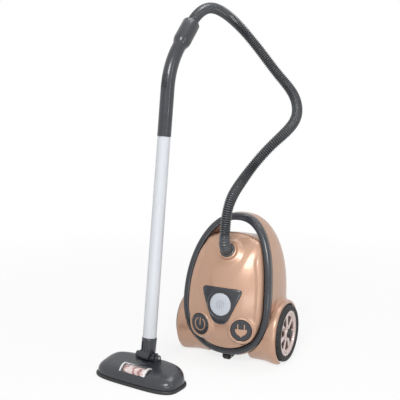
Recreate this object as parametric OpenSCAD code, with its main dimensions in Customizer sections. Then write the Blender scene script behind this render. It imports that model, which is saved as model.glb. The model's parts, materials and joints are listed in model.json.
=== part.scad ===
// Toy canister vacuum cleaner: canister on wheels, ribbed hose, wand and floor nozzle.
// Millimetres, +Z up, the canister's front faces -Y.

/* [Canister body] */
// Half width of the hoop round the front cover, at its widest
hoop_half_w = 82; // [78:0.5:88]
// Height of the hoop's widest point
widest_z = 105; // [100:1:110]
// Highest point of the carrying arch
hoop_top_z = 254; // [248:1:262]
// Lowest point of the hoop
hoop_bottom_z = 13.5; // [13:0.5:18]
// Width of the hoop's face
hoop_w = 12; // [9:0.5:13]
// Depth of the hoop from front to back
hoop_d = 14; // [11:0.5:16]
// Distance of the hoop ahead of the wheel axle
hoop_ahead = 50; // [47:0.5:54]
// How far the top of the arch lies behind its foot
arch_back = 60; // [50:1:66]
// Height where the hoop starts to lean back
lean_from_z = 60; // [45:1:70]
// Height of the deck at its back, under the carrying arch
deck_z = 206; // [202:0.5:209]
// Rise of the deck from its back to the crest at the top of the front cover
crest_rise = 16; // [12:0.5:18]
// Crown of the front cover ahead of the hoop
cover_crown = 25; // [20:0.5:30]
// Wall of the shells
wall = 2.5; // [2:0.1:3.2]
// Underside of the rear shell above the floor
shell_bottom_z = 9; // [8.5:0.1:10]
// Back of the rear shell behind the wheel axle
shell_back = 62; // [61.5:0.5:70]
// Depth of the arch's copper strap at its middle
strap_d = 10; // [6:0.5:14]
// Radius of the hollow scooped out behind the arch
scoop_r = 52; // [46:1:56]

/* [Wheels] */
// Radius of a rear wheel
wheel_r = 50; // [48:0.5:52]
// Width of a rear tyre
tyre_w = 20.5; // [18:0.5:21]
// Distance of a tyre's outer face from the middle
wheel_out = 100; // [99.5:0.5:106]
// Radius of the hub disc inside the tyre
hub_r = 40; // [36:0.5:41]
// Number of spokes on a hub
hub_spokes = 7; // [3:1:8]
// Diameter of the wheel axle
axle_d = 6; // [4:0.5:8]
// Radius of a caster wheel
caster_r = 6; // [5:0.25:6.5]
// Width of a caster wheel
caster_w = 10; // [7:0.5:12]
// Distance of the caster's swivel ahead of the wheel axle
caster_ahead = 31; // [29:0.5:33]
// Trail of the caster wheel
caster_trail = 11; // [9:0.5:12]

/* [Buttons] */
// Radius of the big round button
button_r = 19.5; // [16:0.5:20.5]
// Height of the big button's middle
button_z = 109; // [107:0.5:111]
// Travel of the big button
button_travel = 3; // [2:0.25:4]
// Radius of the two small round buttons
disc_r = 18.5; // [15:0.5:19]
// Distance of a small button from the middle
disc_x = 39; // [37:0.5:41]
// Height of the small buttons' middles
disc_z = 68; // [65:0.5:69]
// Travel of the small buttons
disc_travel = 2.5; // [1.5:0.25:3]

/* [Hose] */
// Outer diameter of the ribbed hose
hose_d = 19; // [17:0.5:20]
// Bore of the hose
hose_bore = 14; // [11:0.5:15]
// Depth of a rib
rib_depth = 1.3; // [0.8:0.1:1.6]
// Number of ribs along the hose
hose_ribs = 180; // [100:10:200]
// Radius of the hose port's bore
port_r = 12; // [11:0.25:13]
// Height of the hose port's rim
port_z = 198; // [194:0.5:200]
// How far the port's collar stands out of the cover
port_proud = 8.5; // [7:0.5:10]
// Bend radius of the elbow's middle line
elbow_bend_r = 20; // [16:0.5:24]

/* [Wand] */
// Diameter of the tube at its lower end
tube_low_d = 23; // [21:0.5:24]
// Diameter of the tube at its upper end
tube_top_d = 21.5; // [19:0.5:22]
// Length of tube that shows
tube_len = 333; // [280:1:380]
// Wall of the wand's tubes
tube_wall = 1.8; // [1.4:0.1:2.2]
// Backward lean of the wand
wand_lean = 8; // [6:0.5:10]
// Diameter of the curved handle
handle_d = 23; // [22.5:0.25:25]
// Straight length of the handle below its bend
handle_straight = 78; // [70:1:90]
// Bend radius of the handle's middle line
handle_bend_r = 120; // [100:1:140]
// Angle that the handle bends through
handle_bend = 36; // [30:1:42]
// Diameter of the barrel that holds the hose
barrel_d = 30; // [28:0.5:34]
// Length of the barrel
barrel_len = 40; // [34:1:46]
// Number of finger ribs under the handle
finger_ribs = 7; // [4:1:9]
// Travel of the air slider to each side of its rest
slider_travel = 4; // [2:0.5:6]

/* [Nozzle] */
// Width of the nozzle's sole
nozzle_w = 162; // [150:1:170]
// Depth of the nozzle's sole from front to back
nozzle_d = 72; // [68:1:80]
// Height of the nozzle's hood
hood_h = 30; // [28:0.5:34]
// Thickness of the sole's rim
sole_h = 6; // [5:0.5:7]
// Diameter of the neck
neck_d = 25; // [24.5:0.25:27]
// Length of the neck above its hinge
neck_len = 32; // [28:1:38]
// Height of the neck's hinge pin
hinge_z = 34; // [33:0.5:37]
// Distance of the hinge pin behind the middle of the sole
hinge_back = 20; // [18:0.5:22]
// Diameter of the roller behind the window
roller_d = 22; // [18:0.5:23]
// Length of the roller
roller_len = 42; // [36:0.5:46]
// Distance of the neck from the canister's middle
nozzle_aside = 87.5; // [80:0.5:96]
// Distance of the neck ahead of the wheel axle
nozzle_ahead = 166; // [160:1:176]
// Turn of the nozzle
nozzle_turn = -6; // [-8:1:0]

/* [Hidden] */
$fn = 72;

// Colours
copper = "#c08a6c";
dark_grey = "#4e5057";
black = "#1b1c1e";
light_grey = "#c6cbd2";
pale_pink = "#cdb4b0";
steel = "#b7bcc2";
green = "#2f6b45";
clear_white = "#e8eef2";
cell_blue = "#3d6fa5";
roller_pink = "#e3b7b4";

// Clearances and cuts
overrun = 1;
seam = 0.4;
fit = 0.05;
slip = 0.3;
touch = 0.1;

// Hoop outline: a wide oval below its widest point and a taller one above
upper_power = 2.3;
lower_power = 2.2;
round_steps = 48;
arch_rise = hoop_top_z - widest_z;
arch_drop = widest_z - hoop_bottom_z;

function egg_r(turn, half, up, low) =
    let (power = sin(turn) > 0 ? upper_power : lower_power)
    let (across = abs(cos(turn)) / half)
    let (along = abs(sin(turn)) / (sin(turn) > 0 ? up : low))
    pow(pow(across, power) + pow(along, power), -1 / power);
function hoop_r(turn, inset) = egg_r(turn, hoop_half_w - inset, arch_rise - inset, arch_drop - inset);
function lean(z) = arch_back * pow(max(0, (z - lean_from_z) / (hoop_top_z - lean_from_z)), 2);
function hoop_y(z) = lean(z) - hoop_ahead;
function turns(steps) = [for (i = [0:steps - 1]) 360 * i / steps];
function mean(points) = [for (k = [0:2]) [for (p = points) p[k]] * [for (p = points) 1] / len(points)];
function signed_pow(value, power) = sign(value) * pow(abs(value), power);

// Closed skin through rings of points, either a loop or a body with a fan over each end
module skin(rings, loop = false) {
    count = len(rings[0]);
    rows = len(rings);
    last = loop ? rows - 1 : rows - 2;
    base = rows * count;
    points = [for (ring = rings) each ring];
    ends = loop ? [] : [mean(rings[0]), mean(rings[rows - 1])];
    sides = [for (j = [0:last], i = [0:count - 1])
        let (a = j * count, b = (j + 1) % rows * count, k = (i + 1) % count)
        each [[a + i, b + k, a + k], [a + i, b + i, b + k]]];
    fans = loop ? [] : [for (i = [0:count - 1])
        let (k = (i + 1) % count, top = (rows - 1) * count)
        each [[base, i, k], [base + 1, top + k, top + i]]];
    polyhedron(concat(points, ends), concat(sides, fans));
}

// Front cover surface
crown_power = 2.4;
crown_root = 1.8;
cover_inset = hoop_w + seam;
cover_shares = [0.12, 0.32, 0.52, 0.7, 0.84, 0.94, 0.985, 1];
deck_rise = deck_z - widest_z;
flat_share = 0.01;
crest_share = 0.72;
crest_half = crest_share * hoop_half_w;
crest_z = deck_z + crest_rise;
function deck_r(turn) = sin(turn) > flat_share ? deck_rise / sin(turn) : hoop_top_z;
function deck_at(x, slope) = deck_z + slope * crest_rise * (1 - pow(x / crest_half, 2));
function crest_r(turn) =
    let (bow = crest_rise * pow(cos(turn) / crest_half, 2), top = crest_z - widest_z)
    sin(turn) > flat_share ? 2 * top / (sin(turn) + sqrt(pow(sin(turn), 2) + 4 * bow * top)) : hoop_top_z;
function cover_r(turn) = min(hoop_r(turn, cover_inset), crest_r(turn));
function crown_at(share) = cover_crown * pow(max(0, 1 - pow(share, crown_power)), 1 / crown_root);
function cover_share(x, z) = norm([x, z - widest_z]) / cover_r(atan2(z - widest_z, x));
function cover_y(x, z) = hoop_y(z) - crown_at(cover_share(x, z));
function cover_ring(share, inset) = [for (turn = turns(round_steps))
    let (r = share * (cover_r(turn) - inset), z = widest_z + r * sin(turn))
    [r * cos(turn), hoop_y(z) - crown_at(share) + inset, z]];
function backwards(list) = [for (i = [len(list) - 1:-1:0]) list[i]];
module cover_skin() {
    outside = [for (share = cover_shares) cover_ring(share, 0)];
    inside = [for (share = backwards(cover_shares)) cover_ring(share, wall)];
    skin(backwards(concat(outside, inside)));
}

// Outline of the nozzle: round ends, with a bowed front edge
nozzle_mid = -hinge_back;
rear_power = 0.62;
front_power = 0.52;
outline_steps = 48;
function nozzle_outline(half_w, front, rear) = [for (turn = turns(outline_steps))
    let (power = sin(turn) > 0 ? rear_power : front_power, reach = sin(turn) > 0 ? rear : front)
    [half_w * signed_pow(cos(turn), power), nozzle_mid + reach * signed_pow(sin(turn), power)]];
sole_outline = nozzle_outline(nozzle_w / 2, nozzle_d / 2, nozzle_d / 2);

// Layout: the origin lies on the floor under the middle of all but the hose
cap_len = 3;
wheel_side_reach = wheel_out + cap_len;
nozzle_left_reach = nozzle_aside
    + max([for (p = sole_outline) p[1] * sin(nozzle_turn) - p[0] * cos(nozzle_turn)]);
nozzle_front_reach = nozzle_ahead
    - min([for (p = sole_outline) p[0] * sin(nozzle_turn) + p[1] * cos(nozzle_turn)]);

// Frames on the canister: local Z points out of the surface
canister_x = (nozzle_left_reach - wheel_side_reach) / 2;
canister_y = (nozzle_front_reach - shell_back) / 2;
button_tilt = 8;
disc_tilt = 4;
disc_yaw = 13;
disc_proud = 3.5;
port_tilt = 55;
bezel_proud = 2.5;
button_y = cover_y(0, button_z) - bezel_proud;
disc_y = cover_y(disc_x, disc_z) - disc_proud;
port_y = cover_y(0, port_z) - port_proud;
module on_canister() {
    translate([canister_x, canister_y, 0]) children();
}
module at_button() {
    on_canister() translate([0, button_y, button_z]) rotate([90 - button_tilt, 0, 0]) children();
}
module at_disc(side) {
    on_canister() translate([side * disc_x, disc_y, disc_z]) rotate(side * disc_yaw)
        rotate([90 - disc_tilt, 0, 0]) children();
}
module at_port() {
    on_canister() translate([0, port_y, port_z]) rotate([port_tilt, 0, 0]) children();
}
module at_axle(side) {
    on_canister() translate([0, 0, wheel_r]) rotate([0, side * 90, 0]) children();
}

// Buttons: a cap that slides in a cup of the cover, with a stem through the cup's floor
cup_wall = 2.4;
cap_t = 5;
cap_edge = 0.8;
stem_r = 4;
stem_out = 4;
button_sink = 1.2;
disc_sink = 0.8;
button_cup_d = button_sink + cap_t + button_travel + seam + cup_wall;
disc_cup_d = disc_sink + cap_t + disc_travel + seam + cup_wall;
button_cup_under = 1.8;
button_cup_top = bezel_proud + button_cup_under;
spring_wire = 1.2;
module cup(bore_r, depth, top) {
    translate([0, 0, -depth]) cylinder(h = depth - top, r = bore_r + slip + cup_wall);
}
module cup_bore(bore_r, depth) {
    translate([0, 0, cup_wall - depth]) cylinder(h = depth + overrun, r = bore_r + slip);
    translate([0, 0, -depth - overrun]) cylinder(h = depth, r = stem_r + slip);
}
module button_cap(face_r, sink, depth) {
    stem_len = depth - sink + stem_out;
    translate([0, 0, -sink - cap_t]) rotate_extrude()
        polygon([[0, 0], [face_r, 0], [face_r, cap_t - cap_edge], [face_r - cap_edge, cap_t],
            [0, cap_t]]);
    translate([0, 0, -sink - stem_len]) cylinder(h = stem_len - cap_edge, r = stem_r);
}
module button_spring(depth, sink) {
    seat = cup_wall - depth + seam / 2;
    inner_r = stem_r + slip + spring_wire;
    translate([0, 0, seat]) difference() {
        cylinder(h = depth - cup_wall - sink - cap_t - seam, r = inner_r + spring_wire);
        translate([0, 0, -overrun]) cylinder(h = depth + overrun, r = inner_r);
    }
}

// Screws, and the posts that they hold, from the front cover to the back of the rear shell
screw_r = 1.5;
screw_head_r = 3;
screw_head_h = 1.2;
screw_len = 14;
module screw(length) {
    shank_r = screw_r - fit;
    rotate_extrude() polygon([[0, -screw_head_h], [screw_head_r, -screw_head_h], [screw_head_r, 0],
        [shank_r, 0], [shank_r, length], [0, length]]);
}
post_r = 4.5;
post_back = shell_back - wall - slip;
post_shares = [[-0.24, 1.48], [0.24, 1.48], [0, 0.69]];
post_places = [for (share = post_shares) [share[0] * hoop_half_w, share[1] * widest_z]];
module at_posts(y) {
    for (place = post_places)
        translate([place[0], y, place[1]]) rotate([90, 0, 0]) children();
}
module posts() {
    for (place = post_places) {
        front = max([for (z = [-post_r, post_r]) cover_y(place[0], place[1] + z)]) + wall / 4;
        translate([place[0], post_back, place[1]]) rotate([90, 0, 0])
            cylinder(h = post_back - front, r = post_r);
    }
}

// Front cover with the hose port, the cups and the posts
collar_r = 16;
collar_base_r = 25;
collar_h = 20;
module front_cover() {
    color(copper) difference() {
        union() {
            on_canister() cover_skin();
            at_port() translate([0, 0, -collar_h]) cylinder(h = collar_h, r1 = collar_base_r, r2 = collar_r);
            at_button() cup(button_r, button_cup_d, button_cup_top);
            for (side = [-1, 1])
                at_disc(side) cup(disc_r, disc_cup_d, 0);
            on_canister() posts();
        }
        at_port() translate([0, 0, -2 * collar_h]) cylinder(h = 3 * collar_h, r = port_r);
        at_button() cup_bore(button_r, button_cup_d);
        for (side = [-1, 1])
            at_disc(side) cup_bore(disc_r, disc_cup_d);
        on_canister() at_posts(shell_back) cylinder(h = screw_len + wall, r = screw_r);
    }
}

// Hoop with a rounded section; its top is the carrying arch
hoop_steps = 64;
section_steps = 10;
section_power = 0.66;
section_turn = 18;
function hoop_section() = [for (turn = turns(section_steps))
    [hoop_w / 2 * (1 - signed_pow(cos(turn + section_turn), section_power)),
        hoop_d / 2 * signed_pow(sin(turn + section_turn), section_power)]];
module handle_hoop() {
    rings = [for (turn = turns(hoop_steps)) [for (p = hoop_section())
        let (r = hoop_r(turn, p[0]), z = widest_z + r * sin(turn))
        [r * cos(turn), hoop_y(z) + p[1], z]]];
    color(dark_grey) on_canister() skin(rings, loop = true);
}

// Rear shell: the hoop's outline drawn in towards a flat back
back_share = 0.52;
low_draw_share = 0.2;
side_bulge_share = 0.06;
round_power = 0.8;
draw_power = 0.6;
shell_inset = 1;
depth_turns = [0, 15, 30, 45, 58, 70, 80, 90];
shell_drop = widest_z - shell_bottom_z;
function shell_front(z) = hoop_y(z) + hoop_d / 2 + seam;
function shell_r(turn, inset) = egg_r(turn, hoop_half_w - shell_inset - inset,
    arch_rise - shell_inset - inset, shell_drop - inset);
function shell_ring(depth_turn, inset, top, front) = [for (turn = turns(round_steps))
    let (under_deck = deck_r(turn) - inset / max(flat_share, abs(sin(turn))))
    let (r = min(shell_r(turn, inset), top ? under_deck : hoop_top_z))
    let (z = widest_z + r * sin(turn), y = shell_front(z) - front, back = shell_back - inset)
    let (draw = back_share + (1 - back_share) * pow(cos(depth_turn), draw_power))
    let (rise = sin(turn) > 0 ? draw : 1 - (1 - draw) * low_draw_share)
    let (spread = draw + side_bulge_share * sin(2 * depth_turn), run = pow(sin(depth_turn), round_power))
    [spread * r * cos(turn), y + (back - y) * run, widest_z + rise * r * sin(turn)]];
module shell_body(inset, top, front) {
    skin(backwards([for (turn = depth_turns) shell_ring(turn, inset, top, front)]));
}
crest_points = 8;
function opening_ring(y, slope) =
    let (side = hoop_half_w * pow(1 - pow(deck_rise / arch_rise, upper_power), 1 / upper_power) - hoop_w)
    let (arch = [for (turn = turns(2 * round_steps))
        let (r = hoop_r(turn, hoop_w), z = widest_z + r * sin(turn))
        if (z > deck_at(r * cos(turn), 1)) [r * cos(turn), y, z]])
    let (deck = [for (i = [0:crest_points])
        let (x = side * (2 * i / crest_points - 1)) [x, y, deck_at(x, slope)]])
    concat(arch, deck);
module arch_opening() {
    front = hoop_y(deck_z) - hoop_d;
    rings = [[front, 1], [hoop_y(crest_z), 1], [shell_back, 0], [shell_back + hoop_top_z, 0]];
    skin(backwards([for (ring = rings) opening_ring(ring[0], ring[1])]));
}
module inside_hoop() {
    outline = [for (turn = turns(2 * round_steps)) hoop_r(turn, cover_inset) * [cos(turn), sin(turn)]];
    intersection() {
        children();
        translate([0, hoop_top_z, widest_z]) rotate([90, 0, 0]) linear_extrude(2 * hoop_top_z)
            polygon(outline);
    }
}
deck_lip_share = 0.74;
deck_lip_w = 2 * (deck_lip_share * hoop_half_w - hoop_w - seam);
arch_skirt_in = 40;
arch_rim_in = 6;
arch_wall = 2.3;
arch_flare = 5.8;
well_gap = 2.2;
well_r = wheel_r + well_gap;
arch_r = well_r + arch_flare;
arch_front_y = hoop_y(wheel_r + arch_r) + hoop_d / 2 + seam;
pad_w = 72;
pad_d = 46;
pad_back = 40;
pad_under = 1;
pad_z = shell_bottom_z - pad_under;
pad_h = 13;
caster_room = 3;
caster_swing = caster_trail + caster_r + caster_room;
socket_over = 1;
socket_z = hoop_bottom_z + socket_over;
socket_lap = 3;
socket_t = 3;
socket_r = caster_swing + overrun + socket_lap;
module behind_hoop(from_y) {
    intersection() {
        children();
        translate([-hoop_top_z, from_y, -hoop_top_z]) cube([2 * hoop_top_z, 2 * hoop_top_z, 3 * hoop_top_z]);
    }
}
module caster_well() {
    translate([0, -caster_ahead, -overrun]) cylinder(h = socket_z + 2 * overrun, r = caster_swing + overrun);
    translate([0, -caster_ahead, socket_z]) cylinder(h = socket_t, r = socket_r + slip);
}
module rear_shell() {
    strap_back = shell_front(hoop_top_z) + strap_d;
    lip_low = deck_z - wall;
    lip_back = hoop_y(crest_z) + wall + hoop_d;
    lip_front = [for (i = [0:crest_points])
        let (z = lip_low + (crest_z - lip_low) * i / crest_points) [hoop_y(z) + wall + seam, z]];
    color(copper) on_canister() difference() {
        union() {
            difference() {
                shell_body(0, false, 0);
                shell_body(wall, true, overrun);
            }
            inside_hoop() translate([-deck_lip_w / 2, 0, 0]) rotate([90, 0, 90]) linear_extrude(deck_lip_w)
                polygon(concat([[lip_back, lip_low], [lip_back, crest_z]], backwards(lip_front)));
            translate([-pad_w / 2, pad_back - pad_d, pad_z]) cube([pad_w, pad_d, pad_h]);
            behind_hoop(shell_front(0)) translate([0, -caster_ahead, shell_bottom_z])
                cylinder(h = socket_z - shell_bottom_z, r = socket_r);
        }
        arch_opening();
        translate([0, strap_back + scoop_r, crest_z]) cylinder(h = hoop_top_z, r = scoop_r);
        for (side = [-1, 1]) {
            behind_hoop(arch_front_y - slip) translate([side * (arch_skirt_in - slip), 0, wheel_r])
                rotate([0, side * 90, 0]) cylinder(h = wheel_out, r = arch_r + slip);
            translate([side * (well_back_x + well_gap / 2), 0, wheel_r]) rotate([0, side * 90, 0])
                cylinder(h = wheel_out, r = wheel_r + well_gap / 2);
        }
        caster_well();
        at_posts(shell_back + overrun) cylinder(h = wall / 2 + overrun, r = screw_head_r + slip);
        at_posts(shell_back) cylinder(h = 2 * wall, r = screw_r + slip);
        battery_opening();
    }
}

// Wheel arches: flared covers round the rear wheels, each with a flat foot
well_back_x = wheel_out - tyre_w - well_gap;
arch_rim_out = wheel_out - arch_rim_in;
trim_z = 4;
flare_shares = [[1, 2.2], [0.88, 1.2], [0.55, 0.35], [0.2, 0]];
hoop_outline = [for (turn = turns(2 * round_steps))
    let (r = max(hoop_r(turn, -seam), shell_r(turn, -seam)))
    [r * cos(turn), widest_z + r * sin(turn)]];
module wheel_arch(side) {
    rim = [for (share = flare_shares) [well_r + share[0] * arch_flare, arch_rim_out - share[1] * arch_flare]];
    hollow_r = arch_r - arch_wall;
    hollow_x = arch_skirt_in + arch_wall;
    floor_z = trim_z + arch_wall;
    color(copper) difference() {
        at_axle(side) rotate_extrude()
            polygon(concat([[0, arch_skirt_in], [arch_r, arch_skirt_in]], rim, [[0, arch_rim_out]]));
        intersection() {
            at_axle(side) translate([0, 0, hollow_x])
                cylinder(h = well_back_x - arch_wall - hollow_x, r = hollow_r);
            on_canister() translate([-hoop_top_z, -hoop_top_z, floor_z])
                cube([2 * hoop_top_z, 2 * hoop_top_z, hoop_top_z]);
        }
        at_axle(side) translate([0, 0, well_back_x]) cylinder(h = wheel_out, r = well_r);
        at_axle(side) cylinder(h = wheel_out, r = axle_d / 2 + fit);
        on_canister() translate([-hoop_top_z, -hoop_top_z, trim_z - hoop_top_z])
            cube([2 * hoop_top_z, 2 * hoop_top_z, hoop_top_z]);
        on_canister() translate([0, arch_front_y, 0]) rotate([90, 0, 0]) linear_extrude(hoop_top_z)
            polygon(hoop_outline);
    }
}
module left_wheel_arch() {
    wheel_arch(-1);
}
module right_wheel_arch() {
    wheel_arch(1);
}

// Bezel: a rounded triangle that follows the cover round the big button
bezel_top = 28;
bezel_bottom = 35;
bezel_side = 25.5;
bezel_side_turn = -24;
bezel_power = 6;
bezel_steps = 60;
bezel_shares = [0, 0.5, 0.84, 1];
bezel_edge_shares = [1, 1, 0.85, 0.3];
function facing(turn, way, reach) = pow(max(0, cos(turn - way)) / reach, bezel_power);
function bezel_r(turn) = pow(
    facing(turn, 90, bezel_top) + facing(turn, -90, bezel_bottom)
    + facing(turn, bezel_side_turn, bezel_side) + facing(turn, 180 - bezel_side_turn, bezel_side),
    -1 / bezel_power);
function bezel_ring(share, proud) = [for (turn = turns(bezel_steps))
    let (hole = button_r + slip)
    let (r = hole + (max(hole + cup_wall, bezel_r(turn)) - hole) * share)
    let (x = r * cos(turn), z = button_z + r * sin(turn))
    [x, cover_y(x, z) - proud, z]];
module button_bezel() {
    last = len(bezel_shares) - 1;
    outside = [for (i = [0:last]) bezel_ring(bezel_shares[i], bezel_proud * bezel_edge_shares[i])];
    inside = [for (i = [last:-1:0]) bezel_ring(bezel_shares[i], slip / 2)];
    color(dark_grey) on_canister() skin(backwards(concat(outside, inside)), loop = true);
}
sound_hole_r = 0.9;
sound_hole_pitch = 3.4;
sound_holes = 2;
module sound_button() {
    color(light_grey) at_button() difference() {
        button_cap(button_r, button_sink, button_cup_d);
        for (i = [-sound_holes:sound_holes], j = [-sound_holes:sound_holes])
            if (abs(i) + abs(j) < 2 * sound_holes)
                translate([i * sound_hole_pitch, j * sound_hole_pitch, -button_sink - sound_hole_r])
                    cylinder(h = cap_t, r = sound_hole_r, $fn = 16);
    }
}
module sound_button_spring() {
    color(steel) at_button() button_spring(button_cup_d, button_sink);
}

// Small buttons and their raised symbols
symbol_t = 0.6;
module disc_button(side) {
    color(dark_grey) at_disc(side) button_cap(disc_r, disc_sink, disc_cup_d);
}
module on_disc(side) {
    color(copper) at_disc(side) translate([0, 0, -disc_sink]) linear_extrude(symbol_t) children();
}
module power_button() {
    disc_button(-1);
}
module plug_button() {
    disc_button(1);
}
ring_share = 0.62;
line_share = 0.09;
ring_r = ring_share * disc_r;
line_w = line_share * disc_r;
module power_symbol() {
    on_disc(-1) {
        difference() {
            circle(ring_r);
            circle(ring_r - line_w);
            polygon([[0, 0], [-ring_r, 2 * ring_r], [ring_r, 2 * ring_r]]);
        }
        translate([-line_w / 2, -line_w]) square([line_w, ring_r + line_w]);
    }
}
plug_shares = [[-0.55, 0.11], [-0.55, -0.08], [-0.4, -0.34], [-0.12, -0.5], [0, -0.66],
    [0.12, -0.5], [0.4, -0.34], [0.55, -0.08], [0.55, 0.11]];
prong_share = 0.31;
prong_len_share = 0.46;
module plug_symbol() {
    top = plug_shares[0][1] * disc_r;
    on_disc(1) {
        polygon(disc_r * plug_shares);
        for (side = [-1, 1])
            translate([side * prong_share * disc_r - line_w / 2, top])
                square([line_w, prong_len_share * disc_r]);
    }
}
module power_button_spring() {
    color(steel) at_disc(-1) button_spring(disc_cup_d, disc_sink);
}
module plug_button_spring() {
    color(steel) at_disc(1) button_spring(disc_cup_d, disc_sink);
}

// Sound unit behind the big button
board_w = 58;
board_h = 34;
board_t = 1.6;
switch_w = 8;
switch_h = 4;
switch_gap = button_travel + seam;
board_front = -button_cup_d - stem_out - switch_gap - switch_h;
standoff_r = 3;
speaker_r = 16;
speaker_h = 9;
module circuit_board() {
    color(green) at_button() {
        translate([-board_w / 2, -board_h / 2, board_front - board_t]) cube([board_w, board_h, board_t]);
        for (side = [-1, 1])
            translate([side * (button_r - standoff_r), 0, board_front])
                cylinder(h = -button_cup_d - slip - board_front, r = standoff_r);
    }
}
module sound_switch() {
    color(black) at_button() translate([-switch_w / 2, -switch_w / 2, board_front + touch])
        cube([switch_w, switch_w, switch_h - touch]);
}
module speaker() {
    cone_r = speaker_r - 2 * cup_wall;
    color(black) at_button() translate([0, 0, board_front - board_t - speaker_h - touch]) rotate_extrude()
        polygon([[0, 0], [cone_r, 0], [speaker_r, speaker_h / 2], [speaker_r, speaker_h], [0, speaker_h]]);
}

// Battery compartment in the underside: two cells side by side along X, resting on the cover
cell_r = 7.1;
cell_len = 50;
cell_gap = 1;
cell_pitch = 2 * cell_r + cell_gap;
contact_t = 1;
contact_gap = 2.2;
box_wall = 1.6;
shaft_w = cell_len + 2 * contact_gap;
shaft_d = cell_pitch + 2 * cell_r + cell_gap;
box_w = shaft_w + 2 * box_wall;
box_d = shaft_d + 2 * box_wall;
box_y = pad_back - pad_d / 2;
box_floor_z = pad_z + pad_h;
cover_t = 2.2;
cover_lap = 4;
cover_screw_x = box_w / 2 + cover_lap / 4;
cell_z = pad_z + cover_t + slip + cell_r;
box_h = cell_z + cell_r + slip + box_wall - box_floor_z;
module battery_opening() {
    translate([-box_w / 2 - cover_lap - seam, box_y - box_d / 2 - seam, pad_z - overrun])
        cube([box_w + 2 * cover_lap + 2 * seam, box_d + 2 * seam, cover_t + touch + overrun]);
    translate([-shaft_w / 2, box_y - shaft_d / 2, pad_z]) cube([shaft_w, shaft_d, pad_h + overrun]);
    translate([cover_screw_x, box_y, pad_z]) cylinder(h = pad_h - overrun, r = screw_r);
}
module battery_box() {
    color(black) on_canister() translate([-box_w / 2, box_y - box_d / 2, box_floor_z + touch]) difference() {
        cube([box_w, box_d, box_h]);
        translate([box_wall, box_wall, -overrun]) cube([shaft_w, shaft_d, box_h - box_wall + overrun]);
    }
}
module battery_cells() {
    color(cell_blue) on_canister() for (side = [-1, 1])
        translate([-cell_len / 2, box_y + side * cell_pitch / 2, cell_z]) rotate([0, 90, 0])
            cylinder(h = cell_len, r = cell_r);
}
module battery_contacts() {
    color(steel) on_canister() for (side = [-1, 1])
        translate([side * (cell_len / 2 + slip + contact_t / 2), box_y, cell_z])
            cube([contact_t, shaft_d - 2 * slip, cell_r], center = true);
}
module battery_cover() {
    color(copper) on_canister() difference() {
        translate([-box_w / 2 - cover_lap, box_y - box_d / 2, pad_z])
            cube([box_w + 2 * cover_lap, box_d, cover_t]);
        translate([cover_screw_x, box_y, pad_z - overrun])
            cylinder(h = cover_t + 2 * overrun, r = screw_r + slip);
    }
}
module battery_cover_screw() {
    color(steel) on_canister() translate([cover_screw_x, box_y, pad_z - touch]) screw(pad_h / 2);
}
module shell_screws() {
    color(steel) on_canister() at_posts(shell_back - wall / 2) screw(screw_len);
}

// Rear wheels on a steel axle
hub_cap_r = 8;
axle_half = wheel_out + cap_len - overrun;
tyre_round = 5;
tyre_ease_share = 0.3;
hub_in = 3;
hub_rim = 5;
spoke_gap = 5;
spoke_share = 0.62;
spoke_root_share = 0.6;
bead = 2;
module wheel_axle() {
    color(steel) at_axle(1) translate([0, 0, -axle_half]) cylinder(h = 2 * axle_half, r = axle_d / 2);
}
module tyre(side) {
    inner = wheel_out - tyre_w;
    ease = tyre_ease_share * tyre_round;
    color(black) at_axle(side) rotate_extrude()
        polygon([[hub_r, inner], [wheel_r - tyre_round, inner], [wheel_r - ease, inner + ease],
            [wheel_r, inner + tyre_round], [wheel_r, wheel_out - tyre_round],
            [wheel_r - ease, wheel_out - ease], [wheel_r - tyre_round, wheel_out],
            [hub_r + bead, wheel_out], [hub_r, wheel_out - bead]]);
}
module hub(side) {
    inner = wheel_out - tyre_w + seam;
    face = wheel_out - bead;
    dish = face - hub_in;
    rim = hub_r - hub_rim;
    boss_r = axle_d + cup_wall;
    bore_r = axle_d / 2 + fit;
    color(pale_pink) at_axle(side) difference() {
        rotate_extrude() polygon([[bore_r, inner], [boss_r, inner], [boss_r, dish - hub_in],
            [rim, dish - hub_in], [rim, inner], [hub_r - fit, inner], [hub_r - fit, face], [rim, face],
            [rim - bead, dish], [boss_r + bead, dish], [boss_r, face], [bore_r, face]]);
        for (i = [0:hub_spokes - 1])
            rotate(360 * i / hub_spokes) spoke_window(boss_r + spoke_gap, rim - spoke_gap, dish);
    }
}
module spoke_window(from_r, to_r, dish) {
    half = 180 / hub_spokes * spoke_share;
    root = half * spoke_root_share;
    translate([0, 0, dish - 2 * hub_in]) linear_extrude(3 * hub_in)
        polygon(concat([for (turn = [-half:half / 2:half]) to_r * [cos(turn), sin(turn)]],
            [for (turn = [root:-root:-root]) from_r * [cos(turn), sin(turn)]]));
}
module hub_cap(side) {
    face = wheel_out - bead + slip;
    color(black) at_axle(side) difference() {
        translate([0, 0, face])
            cylinder(h = wheel_out + cap_len - face, r1 = hub_cap_r, r2 = hub_cap_r - bead);
        translate([0, 0, -overrun]) cylinder(h = axle_half + overrun, r = axle_d / 2 + fit);
    }
}
module left_tyre() {
    tyre(-1);
}
module right_tyre() {
    tyre(1);
}
module left_hub() {
    hub(-1);
}
module right_hub() {
    hub(1);
}
module left_hub_cap() {
    hub_cap(-1);
}
module right_hub_cap() {
    hub_cap(1);
}

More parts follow.
